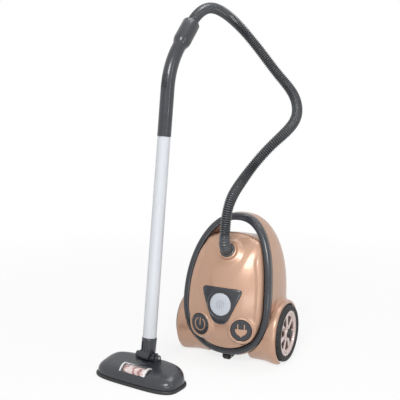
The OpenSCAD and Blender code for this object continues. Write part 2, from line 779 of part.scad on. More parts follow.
// Caster: a small wheel on a swivelling fork under the front
caster_stem_r = 4;
caster_stem_h = 12;
fork_t = 2.4;
fork_gap = 0.4;
fork_crown_share = 1.6;
caster_pin_r = 1.2;
module at_caster() {
    on_canister() translate([0, -caster_ahead, 0]) children();
}
module caster_socket() {
    color(black) difference() {
        union() {
            on_canister() behind_hoop(shell_front(0)) translate([0, -caster_ahead, socket_z + touch])
                cylinder(h = socket_t, r = socket_r);
            at_caster() translate([0, 0, socket_z + touch])
                cylinder(h = caster_stem_h + socket_t, r = caster_stem_r + cup_wall);
        }
        at_caster() translate([0, 0, socket_z]) cylinder(h = caster_stem_h, r = caster_stem_r + fit);
    }
}
module caster_fork() {
    top = socket_z - slip;
    arm_top = hoop_bottom_z - seam;
    crown_z = 2 * caster_r + seam;
    foot_z = caster_r / 2;
    arm = caster_w / 2 + fork_gap;
    color(black) at_caster() difference() {
        union() {
            translate([0, 0, crown_z])
                cylinder(h = socket_z + caster_stem_h - overrun - crown_z, r = caster_stem_r);
            translate([0, 0, crown_z]) cylinder(h = top - crown_z, r = fork_crown_share * caster_stem_r);
            for (side = [-1, 1])
                translate([side * (arm + fork_t / 2) - fork_t / 2, -caster_trail - caster_r / 2, foot_z])
                    cube([fork_t, caster_trail + caster_r / 2 + caster_stem_r, arm_top - foot_z]);
            translate([-arm - fork_t / 2, -overrun, caster_r])
                cube([2 * arm + fork_t, caster_stem_r + overrun, arm_top - caster_r]);
        }
        translate([-caster_w, -caster_trail, caster_r]) rotate([0, 90, 0])
            cylinder(h = 2 * caster_w, r = caster_pin_r);
    }
}
module caster_wheel() {
    color(black) at_caster() translate([-caster_w / 2, -caster_trail, caster_r]) rotate([0, 90, 0])
        difference() {
            cylinder(h = caster_w, r = caster_r);
            translate([0, 0, -overrun]) cylinder(h = caster_w + 2 * overrun, r = caster_pin_r + fit);
        }
}
module caster_pin() {
    half = caster_w / 2 + fork_gap + fork_t;
    color(steel) at_caster() translate([-half, -caster_trail, caster_r]) rotate([0, 90, 0])
        cylinder(h = 2 * half, r = caster_pin_r - fit / 5);
}

// Elbow that swivels in the hose port
plug_len = 17;
elbow_out = 5;
elbow_back = 10;
elbow_turn = port_tilt + elbow_back;
elbow_over = 0.6;
elbow_r = hose_d / 2 + elbow_over;
elbow_collar_len = 6;
elbow_flange = 1.2;
module after_bend(path_r, turn) {
    translate([0, path_r * (1 - cos(turn)), path_r * sin(turn)]) rotate([-turn, 0, 0]) children();
}
bend_sides = 40;
bend_steps = 8;
function bend_turns(turn) = [for (i = [0:bend_steps]) turn * i / bend_steps];
function bend_ring(path_r, turn, along, r) = [for (way = turns(bend_sides))
    [r * cos(way),
        path_r * (1 - cos(turn)) + along * sin(turn) + r * sin(way) * cos(turn),
        path_r * sin(turn) + along * cos(turn) - r * sin(way) * sin(turn)]];
function elbow_ring(turn, along, r) = bend_ring(elbow_bend_r, turn, along, r);
module hose_elbow() {
    bore_r = hose_bore / 2;
    plug_r = port_r - fit;
    flange_r = port_r + elbow_flange;
    collar_end_r = elbow_r + elbow_flange / 2;
    foot = -elbow_out - plug_len;
    flange_low = slip - elbow_out;
    flange_top = flange_low + elbow_flange;
    bends = bend_turns(elbow_turn);
    stem = [[foot, plug_r], [-elbow_out, plug_r], [-elbow_out, elbow_r], [flange_low, elbow_r],
        [flange_low, flange_r], [flange_top, flange_r], [flange_top, elbow_r]];
    outside = concat([for (p = stem) elbow_ring(0, p[0], p[1])],
        [for (turn = bends) elbow_ring(turn, 0, elbow_r)],
        [for (along = [elbow_flange, elbow_collar_len]) elbow_ring(elbow_turn, along, collar_end_r)]);
    inside = concat([elbow_ring(elbow_turn, elbow_collar_len, bore_r)],
        [for (turn = backwards(bends)) elbow_ring(turn, 0, bore_r)], [elbow_ring(0, foot, bore_r)]);
    color(dark_grey) at_port() translate([0, 0, elbow_out]) skin(concat(outside, inside), loop = true);
}

// Barrel at the handle's end and the cuff in it
barrel_cone = 14;
barrel_reach = barrel_cone + barrel_len;
cuff_wall = 1.6;
cuff_lip = 2;
cuff_floor = hose_d;
cuff_r = hose_d / 2 + slip + cuff_wall;

// Hose: points of a smooth curve on the canister's frame, with a straight run at each end
hose_route = [
    [-69, 25, 614], [-59, 88, 597], [-33, 116, 560], [-4, 121, 524], [23, 125, 489], [57, 121, 458],
    [76, 90, 421], [71, 50, 398], [49, 26, 374], [20, 19, 339], [6, -6, 309], [3, -36, 290]
];
port_way = [0, -sin(port_tilt), cos(port_tilt)];
port_up = [0, cos(port_tilt), sin(port_tilt)];
elbow_end = [0, port_y, port_z] + (elbow_out + elbow_bend_r * sin(elbow_turn)) * port_way
    + elbow_bend_r * (1 - cos(elbow_turn)) * port_up;
elbow_way = cos(elbow_turn) * port_way + sin(elbow_turn) * port_up;
hose_low = elbow_end + elbow_collar_len * elbow_way;
wand_back = [-sin(nozzle_turn), cos(nozzle_turn), 0];
wand_foot = [-nozzle_aside, -nozzle_ahead, hinge_z];
handle_low = neck_len + tube_len;
arm_z = handle_low + handle_straight;
end_lean = wand_lean + handle_bend;
wand_y = arm_z * sin(wand_lean) + handle_bend_r * (cos(wand_lean) - cos(end_lean));
wand_z = arm_z * cos(wand_lean) + handle_bend_r * (sin(end_lean) - sin(wand_lean));
cuff_way = sin(end_lean) * wand_back + [0, 0, cos(end_lean)];
barrel_end = wand_foot + wand_y * wand_back + [0, 0, wand_z] + barrel_reach * cuff_way;
hose_high = barrel_end - cuff_floor * cuff_way;
hose_points = concat(
    [for (i = [-1:2]) hose_high + i * hose_d * cuff_way],
    hose_route,
    [for (i = [2:-1:-1]) hose_low + i * hose_d * elbow_way]);
function blend(a, b, c, d, t) = (pow(1 - t, 3) * a + (3 * pow(t, 3) - 6 * t * t + 4) * b
    + (3 * t + 3 * t * t - 3 * pow(t, 3) + 1) * c + pow(t, 3) * d) / 6;
function on_route(points, place) =
    let (i = min(len(points) - 4, floor(place)), t = place - i)
    blend(points[i], points[i + 1], points[i + 2], points[i + 3], t);
route_samples = 400;
route_spans = len(hose_points) - 3;
route_places = [for (i = [0:route_samples]) on_route(hose_points, route_spans * i / route_samples)];
route_steps = [for (i = [1:route_samples]) norm(route_places[i] - route_places[i - 1])];
function running(list, i = 0, total = 0) = i == len(list) ? [total]
    : concat([total], running(list, i + 1, total + list[i]));
route_run = running(route_steps);
hose_len = route_run[route_samples];
run_table = [for (i = [0:route_samples]) [route_run[i], route_spans * i / route_samples]];
function place_at(run) = lookup(run, run_table);
function hose_point(run) = on_route(hose_points, place_at(run));
hose_look = 0.5;
function hose_way(run) =
    let (a = hose_point(max(0, run - hose_look)), b = hose_point(min(hose_len, run + hose_look)))
    (b - a) / norm(b - a);
function turned(side, way) = let (flat = side - (side * way) * way) flat / norm(flat);
function sides_along(runs, side, i = 0) = i == len(runs) ? []
    : let (next = turned(side, hose_way(runs[i]))) concat([next], sides_along(runs, next, i + 1));
hose_sides = 8;
function hose_rings(runs, radii) =
    let (firsts = sides_along(runs, [1, 0, 0]))
    [for (i = [0:len(runs) - 1])
        let (way = hose_way(runs[i]), mid = hose_point(runs[i]), side = firsts[i], other = cross(way, side))
        [for (turn = turns(hose_sides)) mid + radii[i] * (cos(turn) * side + sin(turn) * other)]];
rib_pitch = hose_len / hose_ribs;
bore_rings = 60;
module hose() {
    outer_runs = concat([0], [for (i = [0:2 * hose_ribs - 1]) (i + 0.5) * rib_pitch / 2], [hose_len]);
    outer_radii = [for (i = [0:2 * hose_ribs + 1]) hose_d / 2 - (i % 2 == 0 ? 0 : rib_depth)];
    bore_runs = [for (i = [bore_rings:-1:0]) hose_len * i / bore_rings];
    bore_radii = [for (run = bore_runs) hose_bore / 2];
    bore = backwards(hose_rings(backwards(bore_runs), bore_radii));
    color(dark_grey) on_canister() skin(concat(hose_rings(outer_runs, outer_radii), bore), loop = true);
}

// Wand: neck, tube and handle stand on the nozzle's hinge and lean back
socket_depth = 16;
module on_nozzle() {
    on_canister() translate([-nozzle_aside, -nozzle_ahead, 0]) rotate(nozzle_turn) children();
}
module on_wand() {
    on_nozzle() translate([0, 0, hinge_z]) rotate([-wand_lean, 0, 0]) children();
}
module at_arm() {
    on_wand() translate([0, 0, arm_z]) children();
}
module at_barrel() {
    at_arm() after_bend(handle_bend_r, handle_bend) children();
}
finger_from_share = 0.12;
finger_span_share = 0.86;
finger_r = 1.4;
finger_len = 11;
slider_w = 8;
slider_len = 14;
slider_proud = 1;
slider_turn = 4;
slider_grip = 1.2;
slot_depth = 1.2;
slot_len = slider_len + 2 * slider_travel + 2 * slip;
slot_y = slot_depth - handle_d / 2;
module at_slider() {
    at_arm() after_bend(handle_bend_r, slider_turn) children();
}
module finger_rib(turn) {
    at_arm() after_bend(handle_bend_r, turn)
        translate([-finger_len / 2, handle_d / 2 - tube_wall + finger_r + touch, 0]) rotate([0, 90, 0])
            cylinder(h = finger_len, r = finger_r, $fn = 24);
}
function handle_ring(turn, along, r) = bend_ring(handle_bend_r, turn, along, r);
module handle_skin() {
    handle_r = handle_d / 2;
    inside_r = handle_r - tube_wall;
    hold_r = tube_top_d / 2 - fit;
    seat_r = cuff_r + fit;
    seat = barrel_reach - cuff_floor - cuff_wall;
    bends = bend_turns(handle_bend);
    outside = concat([handle_ring(0, -handle_straight, handle_r)],
        [for (turn = bends) handle_ring(turn, 0, handle_r)],
        [for (along = [barrel_cone, barrel_reach]) handle_ring(handle_bend, along, barrel_d / 2)]);
    cuff_hole = [[barrel_reach, seat_r], [seat, seat_r], [seat, inside_r]];
    tube_hole = [[socket_depth, inside_r], [socket_depth, hold_r], [0, hold_r]];
    inside = concat([for (p = cuff_hole) handle_ring(handle_bend, p[0], p[1])],
        [for (turn = backwards(bends)) handle_ring(turn, 0, inside_r)],
        [for (p = tube_hole) handle_ring(0, p[0] - handle_straight, p[1])]);
    skin(concat(outside, inside), loop = true);
}
module wand_handle() {
    color(dark_grey) {
        difference() {
            at_arm() handle_skin();
            at_slider() translate([-slider_w / 2 - slip, slot_y - handle_d, -slot_len / 2])
                cube([slider_w + 2 * slip, handle_d, slot_len]);
        }
        for (i = [0:finger_ribs - 1])
            finger_rib(handle_bend * (finger_from_share + finger_span_share * i / (finger_ribs - 1)));
    }
}
module air_slider() {
    front = -handle_d / 2 - slider_proud;
    back = slot_y - slip;
    color(dark_grey) at_slider() translate([-slider_w / 2, front, -slider_len / 2]) {
        cube([slider_w, back - front, slider_len]);
        for (side = [-1, 1])
            translate([0, -slider_grip, slider_len / 2 + side * slider_len / 4 - slider_grip / 2])
                cube([slider_w, slider_grip + slip, slider_grip]);
    }
}
module wand_tube() {
    low = neck_len - socket_depth;
    top = handle_low + socket_depth;
    low_r = tube_low_d / 2;
    top_r = tube_top_d / 2 - 2 * fit;
    color(light_grey) on_wand() rotate_extrude() polygon([
        [low_r - tube_wall, low + slip], [low_r - fit, low + slip], [low_r - fit, neck_len],
        [low_r, neck_len + slip], [tube_top_d / 2, handle_low - slip], [top_r, handle_low],
        [top_r, top - slip], [top_r - tube_wall, top - slip]]);
}
knuckle_r = 8;
knuckle_w = 32;
knuckle_gap = 0.6;
pin_r = 2.5;
module nozzle_neck() {
    color(dark_grey) on_wand() difference() {
        union() {
            translate([0, 0, knuckle_r]) cylinder(h = neck_len - knuckle_r, r = neck_d / 2);
            translate([0, 0, knuckle_r / 2]) cylinder(h = knuckle_r / 2, r1 = knuckle_r, r2 = neck_d / 2);
            translate([-knuckle_w / 2, 0, 0]) rotate([0, 90, 0]) cylinder(h = knuckle_w, r = knuckle_r);
        }
        translate([0, 0, neck_len - socket_depth]) cylinder(h = socket_depth + overrun, r = tube_low_d / 2);
        translate([-knuckle_w, 0, 0]) rotate([0, 90, 0]) cylinder(h = 2 * knuckle_w, r = pin_r + fit);
    }
}
module hose_cuff() {
    hold = cuff_floor + cuff_wall - slip;
    color(dark_grey) at_barrel() translate([0, 0, barrel_reach]) rotate_extrude() polygon([
        [hose_bore / 2, -hold], [cuff_r, -hold], [cuff_r, slip], [cuff_r + cuff_wall, slip],
        [cuff_r + cuff_wall, cuff_lip], [hose_d / 2 + slip, cuff_lip], [hose_d / 2 + slip, -cuff_floor],
        [hose_bore / 2, -cuff_floor]]);
}

// Nozzle: black sole, domed hood with a window over the roller, and ears for the neck
hood_in = 3;
hood_wall = 2.2;
hood_low = sole_h + slip;
hood_turns = [0, 14, 28, 42, 56, 70, 80, 90];
hood_power = 0.7;
hood_top_share = 0.7;
hood_front_share = 0.3;
hood_rear_share = 0.8;
hood_slope_share = 0.6;
function hood_draw(top_share, turn) = top_share + (1 - top_share) * pow(cos(turn), hood_power);
function hood_fall(y) = 1 - hood_slope_share * max(0, -y) / nozzle_d;
function hood_ring(turn, inset) =
    let (half_w = (nozzle_w / 2 - hood_in) * hood_draw(hood_top_share, turn) - inset)
    let (front = (nozzle_d / 2 - hood_in) * hood_draw(hood_front_share, turn) - inset)
    let (rear = (nozzle_d / 2 - hood_in) * hood_draw(hood_rear_share, turn) - inset)
    let (low = hood_low - (inset > 0 ? overrun : 0), rise = hood_h - inset - low)
    [for (p = nozzle_outline(half_w, front, rear))
        [p[0], p[1], low + rise * pow(sin(turn), hood_power) * hood_fall(p[1])]];
module hood_solid(inset) {
    skin([for (turn = hood_turns) hood_ring(turn, inset)]);
}
window_ahead = 12;
window_y = nozzle_mid - window_ahead;
roller_z = 14;
window_gap = 2;
window_t = 1.4;
window_r = roller_d / 2 + window_gap + window_t;
window_w = roller_len + 2 * window_gap;
window_turn = 150;
rim_w = 2.4;
rim_t = 2.1;
ear_gap = 0.3;
ear_t = 6;
ear_r = 5.5;
nozzle_boss_r = 4.5;
nozzle_screw_x_share = 0.76;
nozzle_screw_y_share = 0.5;
nozzle_screw_len = 10;
module at_nozzle_screws(z) {
    half_w = nozzle_screw_x_share * nozzle_w / 2;
    half_d = nozzle_screw_y_share * nozzle_d / 2;
    for (x = [-1, 1], y = [-1, 1])
        translate([x * half_w, nozzle_mid + y * half_d, z]) children();
}
module across(x, y, z) {
    translate([x, y, z]) rotate([0, 90, 0]) children();
}
module ears() {
    for (side = [-1, 1]) {
        x = side > 0 ? knuckle_w / 2 + ear_gap : -knuckle_w / 2 - ear_gap - ear_t;
        across(x, 0, hinge_z) cylinder(h = ear_t, r = ear_r);
        translate([x, -ear_r, hood_h / 2]) cube([ear_t, 2 * ear_r, hinge_z - hood_h / 2]);
    }
}
module nozzle_hood() {
    color(dark_grey) on_nozzle() difference() {
        union() {
            difference() {
                hood_solid(0);
                hood_solid(hood_wall);
            }
            intersection() {
                hood_solid(0);
                at_nozzle_screws(0) cylinder(h = hood_h, r = nozzle_boss_r);
            }
            ears();
        }
        across(-knuckle_w / 2 - ear_gap, 0, hinge_z)
            cylinder(h = knuckle_w + 2 * ear_gap, r = knuckle_r + knuckle_gap);
        across(-window_w / 2 - rim_w - slip, window_y, roller_z)
            cylinder(h = window_w + 2 * rim_w + 2 * slip, r = window_r + slip);
        across(-knuckle_w, 0, hinge_z) cylinder(h = 2 * knuckle_w, r = pin_r + fit);
        at_nozzle_screws(0) cylinder(h = sole_h / 2 + nozzle_screw_len + overrun, r = screw_r);
    }
}
bracket_t = 3;
bracket_gap = 1;
module nozzle_sole() {
    slot_w = roller_len + 2 * bracket_gap;
    bracket_x = (slot_w + bracket_t) / 2;
    color(black) on_nozzle() {
        difference() {
            linear_extrude(sole_h) polygon(sole_outline);
            translate([-slot_w / 2, window_y - roller_d / 2, -overrun])
                cube([slot_w, roller_d, sole_h + 2 * overrun]);
            at_nozzle_screws(-overrun) cylinder(h = sole_h + 2 * overrun, r = screw_r + slip);
            at_nozzle_screws(-overrun) cylinder(h = sole_h / 2 + overrun, r = screw_head_r + slip);
        }
        for (side = [-1, 1])
            difference() {
                translate([side * bracket_x - bracket_t / 2, window_y - roller_d / 4, sole_h / 2])
                    cube([bracket_t, roller_d / 2, roller_z]);
                across(-slot_w, window_y, roller_z) cylinder(h = 2 * slot_w, r = roller_pin_r);
            }
    }
}
module window_arc(from_x, width, thick) {
    translate([from_x, window_y, roller_z]) rotate([90, 0, 90]) rotate(90 - window_turn / 2)
        rotate_extrude(angle = window_turn) translate([window_r - thick, 0]) square([thick, width]);
}
module nozzle_window() {
    color(clear_white) on_nozzle() window_arc(-window_w / 2, window_w, window_t);
}
module window_rims() {
    color("white") on_nozzle() for (side = [-1, 1])
        window_arc(side > 0 ? window_w / 2 : -window_w / 2 - rim_w, rim_w, rim_t);
}
module neck_pin() {
    half = knuckle_w / 2 + ear_gap + ear_t;
    color(steel) on_nozzle() across(-half, 0, hinge_z) cylinder(h = 2 * half, r = pin_r);
}
module nozzle_screws() {
    color(steel) on_nozzle() at_nozzle_screws(sole_h / 2) screw(nozzle_screw_len);
}
roller_pin_r = 2;
module roller() {
    color(roller_pink) on_nozzle() across(-roller_len / 2, window_y, roller_z) difference() {
        cylinder(h = roller_len, r = roller_d / 2);
        translate([0, 0, -overrun]) cylinder(h = roller_len + 2 * overrun, r = roller_pin_r + fit);
    }
}
module roller_pins() {
    half = roller_len / 2 + bracket_gap + bracket_t;
    color(steel) on_nozzle() across(-half, window_y, roller_z)
        cylinder(h = 2 * half, r = roller_pin_r - fit / 5);
}

front_cover();
handle_hoop();
rear_shell();
left_wheel_arch();
right_wheel_arch();
button_bezel();
circuit_board();
sound_switch();
speaker();
battery_box();
battery_cells();
battery_contacts();
battery_cover();
battery_cover_screw();
shell_screws();
wheel_axle();
caster_socket();
sound_button();
sound_button_spring();
power_button();
power_symbol();
power_button_spring();
plug_button();
plug_symbol();
plug_button_spring();
left_tyre();
left_hub();
left_hub_cap();
right_tyre();
right_hub();
right_hub_cap();
caster_fork();
caster_wheel();
caster_pin();
hose_elbow();
hose();
hose_cuff();
wand_handle();
air_slider();
wand_tube();
nozzle_neck();
nozzle_hood();
nozzle_sole();
nozzle_window();
window_rims();
neck_pin();
nozzle_screws();
roller();
roller_pins();
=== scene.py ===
import json
from math import cos, pi, radians, sin

import bmesh
import bpy
import numpy as np
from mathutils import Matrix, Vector
from mathutils.bvhtree import BVHTree


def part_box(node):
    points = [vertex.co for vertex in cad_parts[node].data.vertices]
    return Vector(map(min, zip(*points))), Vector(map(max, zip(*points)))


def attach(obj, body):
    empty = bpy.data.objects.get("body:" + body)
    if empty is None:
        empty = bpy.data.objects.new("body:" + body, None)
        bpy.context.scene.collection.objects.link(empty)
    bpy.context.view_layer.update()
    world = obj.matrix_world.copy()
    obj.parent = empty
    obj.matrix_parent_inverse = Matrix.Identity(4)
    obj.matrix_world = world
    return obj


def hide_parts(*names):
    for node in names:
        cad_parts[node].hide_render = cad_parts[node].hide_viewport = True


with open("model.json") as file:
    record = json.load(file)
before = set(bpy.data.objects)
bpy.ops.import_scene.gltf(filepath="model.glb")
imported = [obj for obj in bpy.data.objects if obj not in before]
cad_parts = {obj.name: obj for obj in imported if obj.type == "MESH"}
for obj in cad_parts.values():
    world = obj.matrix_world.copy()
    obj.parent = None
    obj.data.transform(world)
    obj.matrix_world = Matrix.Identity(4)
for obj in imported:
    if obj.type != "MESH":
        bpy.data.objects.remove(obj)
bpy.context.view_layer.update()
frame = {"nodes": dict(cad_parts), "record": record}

scene = bpy.context.scene
scene.view_settings.view_transform = "Standard"

# Lengths below are in millimetres on the body's own frame, whose origin lies on the floor under the axle.
axle_low, axle_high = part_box("wheel_axle")
SHIFT = np.array([500 * (axle_low.x + axle_high.x), 500 * (axle_low.y + axle_high.y), 0.0])


def put(points):
    """Points of the body's frame, in millimetres, in the row frame, in metres."""
    return (np.asarray(points, float) + SHIFT) / 1000


# Camera and lamps; the lamps' places and sizes are in metres

camera = bpy.data.objects.new("camera", bpy.data.cameras.new("camera"))
scene.collection.objects.link(camera)
scene.camera = camera
camera.data.sensor_width = 36
camera.data.lens = 68.4
camera.data.clip_start = 0.02
camera.data.clip_end = 60
camera.location = put([532.7, -1193.1, 519.8])
camera.rotation_mode = "QUATERNION"
camera.rotation_quaternion = Vector((-0.4464, 0.8761, -0.1822)).to_track_quat("-Z", "Y")


def area_light(name, place, target, size, watts):
    data = bpy.data.lights.new(name, "AREA")
    data.shape = "RECTANGLE"
    data.size, data.size_y = size
    data.energy = watts
    lamp = bpy.data.objects.new(name, data)
    scene.collection.objects.link(lamp)
    lamp.location = place
    lamp.rotation_mode = "QUATERNION"
    lamp.rotation_quaternion = (Vector(target) - Vector(place)).to_track_quat("-Z", "Y")


area_light("key", (0.3, -1.5, 1.6), (0.0, 0.0, 0.2), (0.7, 0.7), 22)
area_light("side", (1.5, -0.6, 0.95), (0.0, 0.0, 0.35), (0.06, 1.2), 3.0)
area_light("top", (0.1, 0.35, 1.75), (0.03, 0.05, 0.15), (1.1, 0.7), 9)
area_light("low", (0.6, -1.25, 0.2), (0.05, 0.0, 0.1), (0.9, 0.3), 3)

# Node helpers

MIX_A, MIX_B, MIX_RESULT = 6, 7, 2  # a Mix node's sockets for colours


def new_material(name):
    mat = bpy.data.materials.new(name)
    mat.use_nodes = True
    nodes = mat.node_tree.nodes
    return mat, nodes, mat.node_tree.links, nodes["Principled BSDF"]


def noise(nodes, links, scale, detail=3.0, rough=0.55):
    place = nodes.new("ShaderNodeTexCoord")
    tex = nodes.new("ShaderNodeTexNoise")
    tex.inputs["Scale"].default_value = scale
    tex.inputs["Detail"].default_value = detail
    tex.inputs["Roughness"].default_value = rough
    links.new(place.outputs["Object"], tex.inputs["Vector"])
    return tex.outputs["Fac"]


def spread(nodes, links, value, low, high, from_low=0.3, from_high=0.7):
    """Maps a value from one range to another; the usual first range is where noise mostly lies."""
    span = nodes.new("ShaderNodeMapRange")
    span.inputs["From Min"].default_value = from_low
    span.inputs["From Max"].default_value = from_high
    span.inputs["To Min"].default_value = low
    span.inputs["To Max"].default_value = high
    links.new(value, span.inputs["Value"])
    return span.outputs["Result"]


def two_tone(nodes, links, factor, first, second):
    mix = nodes.new("ShaderNodeMix")
    mix.data_type = "RGBA"
    links.new(factor, mix.inputs["Factor"])
    mix.inputs[MIX_A].default_value = (*first, 1)
    mix.inputs[MIX_B].default_value = (*second, 1)
    return mix.outputs[MIX_RESULT]


def bump(nodes, links, height, strength, depth):
    node = nodes.new("ShaderNodeBump")
    node.inputs["Strength"].default_value = strength
    node.inputs["Distance"].default_value = depth
    links.new(height, node.inputs["Height"])
    return node.outputs["Normal"]


def background_rays(tree):
    """1 for the rays that meet the white background: from the camera, through glass and off gloss."""
    path = tree.nodes.new("ShaderNodeLightPath")
    rays = path.outputs["Is Camera Ray"]
    for kind in ("Is Transmission Ray", "Is Glossy Ray"):
        either = tree.nodes.new("ShaderNodeMath")
        either.operation = "MAXIMUM"
        tree.links.new(rays, either.inputs[0])
        tree.links.new(path.outputs[kind], either.inputs[1])
        rays = either.outputs[0]
    return rays


# World: soft fill light that is weaker from the left, and white wherever the background is seen

FILL_LEFT, FILL_RIGHT = 0.12, 0.52

world = bpy.data.worlds.new("studio")
scene.world = world
world.use_nodes = True
tree = world.node_tree
tree.nodes.clear()
coords = tree.nodes.new("ShaderNodeTexCoord")
way = tree.nodes.new("ShaderNodeSeparateXYZ")
tree.links.new(coords.outputs["Generated"], way.inputs["Vector"])
fill = tree.nodes.new("ShaderNodeBackground")
fill.inputs["Color"].default_value = (1, 1, 1, 1)
strength = spread(tree.nodes, tree.links, way.outputs["X"], FILL_LEFT, FILL_RIGHT, -0.9, 0.3)
tree.links.new(strength, fill.inputs["Strength"])
white = tree.nodes.new("ShaderNodeBackground")
white.inputs["Color"].default_value = (1, 1, 1, 1)
white.inputs["Strength"].default_value = 1.0
chosen = tree.nodes.new("ShaderNodeMixShader")
tree.links.new(background_rays(tree), chosen.inputs[0])
tree.links.new(fill.outputs[0], chosen.inputs[1])
tree.links.new(white.outputs[0], chosen.inputs[2])
tree.links.new(chosen.outputs[0], tree.nodes.new("ShaderNodeOutputWorld").inputs["Surface"])

# Materials

FLAKE_SCALE = 3200


def plastic(name, colour, rough, metallic=0.0, coat=0.0, coat_rough=0.08, vary=0.06, blotch=22, grain=1400,
            grain_depth=0.00002, grain_strength=0.25, rough_vary=0.05, flakes=0.0):
    """Moulded plastic: slight colour drift, handled patches in the gloss, and fine grain or flakes."""
    mat, nodes, links, shader = new_material(name)
    drift = noise(nodes, links, blotch, 4)
    darker = [c * (1 - vary) for c in colour]
    lighter = [min(1.0, c * (1 + vary)) for c in colour]
    tone = two_tone(nodes, links, spread(nodes, links, drift, 0, 1), darker, lighter)
    if flakes:
        fine = noise(nodes, links, FLAKE_SCALE, 1)
        mix = nodes.new("ShaderNodeMix")
        mix.data_type = "RGBA"
        mix.blend_type = "OVERLAY"
        mix.inputs["Factor"].default_value = flakes
        links.new(tone, mix.inputs[MIX_A])
        links.new(spread(nodes, links, fine, 0.25, 0.8), mix.inputs[MIX_B])
        tone = mix.outputs[MIX_RESULT]
    links.new(tone, shader.inputs["Base Color"])
    handled = noise(nodes, links, blotch * 2.3, 5, 0.65)
    links.new(spread(nodes, links, handled, max(0.02, rough - rough_vary), rough + rough_vary),
              shader.inputs["Roughness"])
    links.new(bump(nodes, links, noise(nodes, links, grain, 2), grain_strength, grain_depth), shader.inputs["Normal"])
    shader.inputs["Metallic"].default_value = metallic
    shader.inputs["Coat Weight"].default_value = coat
    shader.inputs["Coat Roughness"].default_value = coat_rough
    return mat


copper = plastic("copper_lacquer", (0.475, 0.287, 0.197), 0.36, metallic=0.3, coat=0.4, coat_rough=0.1, vary=0.05,
                 blotch=9, grain=2600, grain_depth=0.000012, flakes=0.18, rough_vary=0.05)
dark = plastic("dark_gloss", (0.021, 0.024, 0.031), 0.3, coat=0.35, coat_rough=0.05, vary=0.08, blotch=30,
               grain=1800, grain_depth=0.000015)
hose_mat = plastic("hose_satin", (0.046, 0.051, 0.058), 0.24, coat=0.3, vary=0.14, blotch=60, grain=1500)
# Near-black, rougher hose material for the deepest faces of the grooves: painted shade in the grooves
groove_shade_mat = plastic("hose_groove_painted_shade", (0.004, 0.004, 0.005), 0.7, vary=0.2, blotch=60, grain=1500)
black = plastic("black_matte", (0.014, 0.014, 0.016), 0.5, vary=0.2, blotch=40, grain=1100, grain_depth=0.00005)
tyre_mat = plastic("tyre_rubber", (0.012, 0.012, 0.013), 0.62, vary=0.25, blotch=60, grain=900, grain_depth=0.00009,
                   grain_strength=0.4)
tube_mat = plastic("tube_grey", (0.58, 0.60, 0.635), 0.38, vary=0.025, blotch=12, grain=2200, coat=0.1)
button_mat = plastic("button_grey", (0.49, 0.52, 0.57), 0.34, vary=0.03, blotch=40, grain=2200, coat=0.2)
hub_mat = plastic("hub_silver", (0.62, 0.50, 0.47), 0.3, metallic=0.75, vary=0.05, blotch=45, grain=2400,
                  flakes=0.12, coat=0.3)
# Near-white gloss for the white plastic of the window's end rims: the white is a painted highlight for the glints
# along the rims
glint_white_mat = plastic("rim_white_painted_glint", (0.82, 0.82, 0.82), 0.25, vary=0.02, coat=0.4)
board_mat = plastic("board_green", (0.03, 0.14, 0.06), 0.45, vary=0.2, blotch=120)
cell_mat = plastic("cell_print", (0.05, 0.16, 0.38), 0.35, metallic=0.3, vary=0.1, blotch=90, coat=0.3)


def brushed(name, colour, rough):
    """Metal with fine lines along X."""
    mat, nodes, links, shader = new_material(name)
    place = nodes.new("ShaderNodeTexCoord")
    stretch = nodes.new("ShaderNodeMapping")
    stretch.inputs["Scale"].default_value = (60, 2200, 2200)
    tex = nodes.new("ShaderNodeTexNoise")
    tex.inputs["Scale"].default_value = 1.0
    tex.inputs["Detail"].default_value = 3
    links.new(place.outputs["Object"], stretch.inputs["Vector"])
    links.new(stretch.outputs["Vector"], tex.inputs["Vector"])
    tone = two_tone(nodes, links, spread(nodes, links, tex.outputs["Fac"], 0, 1), [c * 0.85 for c in colour], colour)
    links.new(tone, shader.inputs["Base Color"])
    links.new(spread(nodes, links, tex.outputs["Fac"], rough - 0.06, rough + 0.08), shader.inputs["Roughness"])
    links.new(bump(nodes, links, tex.outputs["Fac"], 0.2, 0.00002), shader.inputs["Normal"])
    shader.inputs["Metallic"].default_value = 1.0
    return mat


steel = brushed("zinc_steel", (0.55, 0.56, 0.58), 0.3)


def swirl():
    """Roller film: pale pink with red-brown curls."""
    mat, nodes, links, shader = new_material("roller_swirl")
    place = nodes.new("ShaderNodeTexCoord")
    turn = nodes.new("ShaderNodeMapping")
    turn.inputs["Rotation"].default_value = (0.5, 0.2, 0.7)
    links.new(place.outputs["Object"], turn.inputs["Vector"])
    wave = nodes.new("ShaderNodeTexWave")
    wave.inputs["Scale"].default_value = 26
    wave.inputs["Distortion"].default_value = 9
    wave.inputs["Detail"].default_value = 3
    wave.inputs["Detail Scale"].default_value = 1.3
    links.new(turn.outputs["Vector"], wave.inputs["Vector"])
    ramp = nodes.new("ShaderNodeValToRGB")
    ramp.color_ramp.elements[0].position = 0.2
    ramp.color_ramp.elements[0].color = (0.36, 0.13, 0.12, 1)
    ramp.color_ramp.elements[1].position = 0.75
    ramp.color_ramp.elements[1].color = (0.70, 0.56, 0.53, 1)
    mid = ramp.color_ramp.elements.new(0.42)
    mid.color = (0.56, 0.33, 0.30, 1)
    links.new(wave.outputs["Fac"], ramp.inputs["Fac"])
    links.new(ramp.outputs["Color"], shader.inputs["Base Color"])
    links.new(spread(nodes, links, noise(nodes, links, 300), 0.25, 0.4), shader.inputs["Roughness"])
    links.new(bump(nodes, links, wave.outputs["Fac"], 0.2, 0.0002), shader.inputs["Normal"])
    shader.inputs["Coat Weight"].default_value = 0.3
    return mat


roller_mat = swirl()


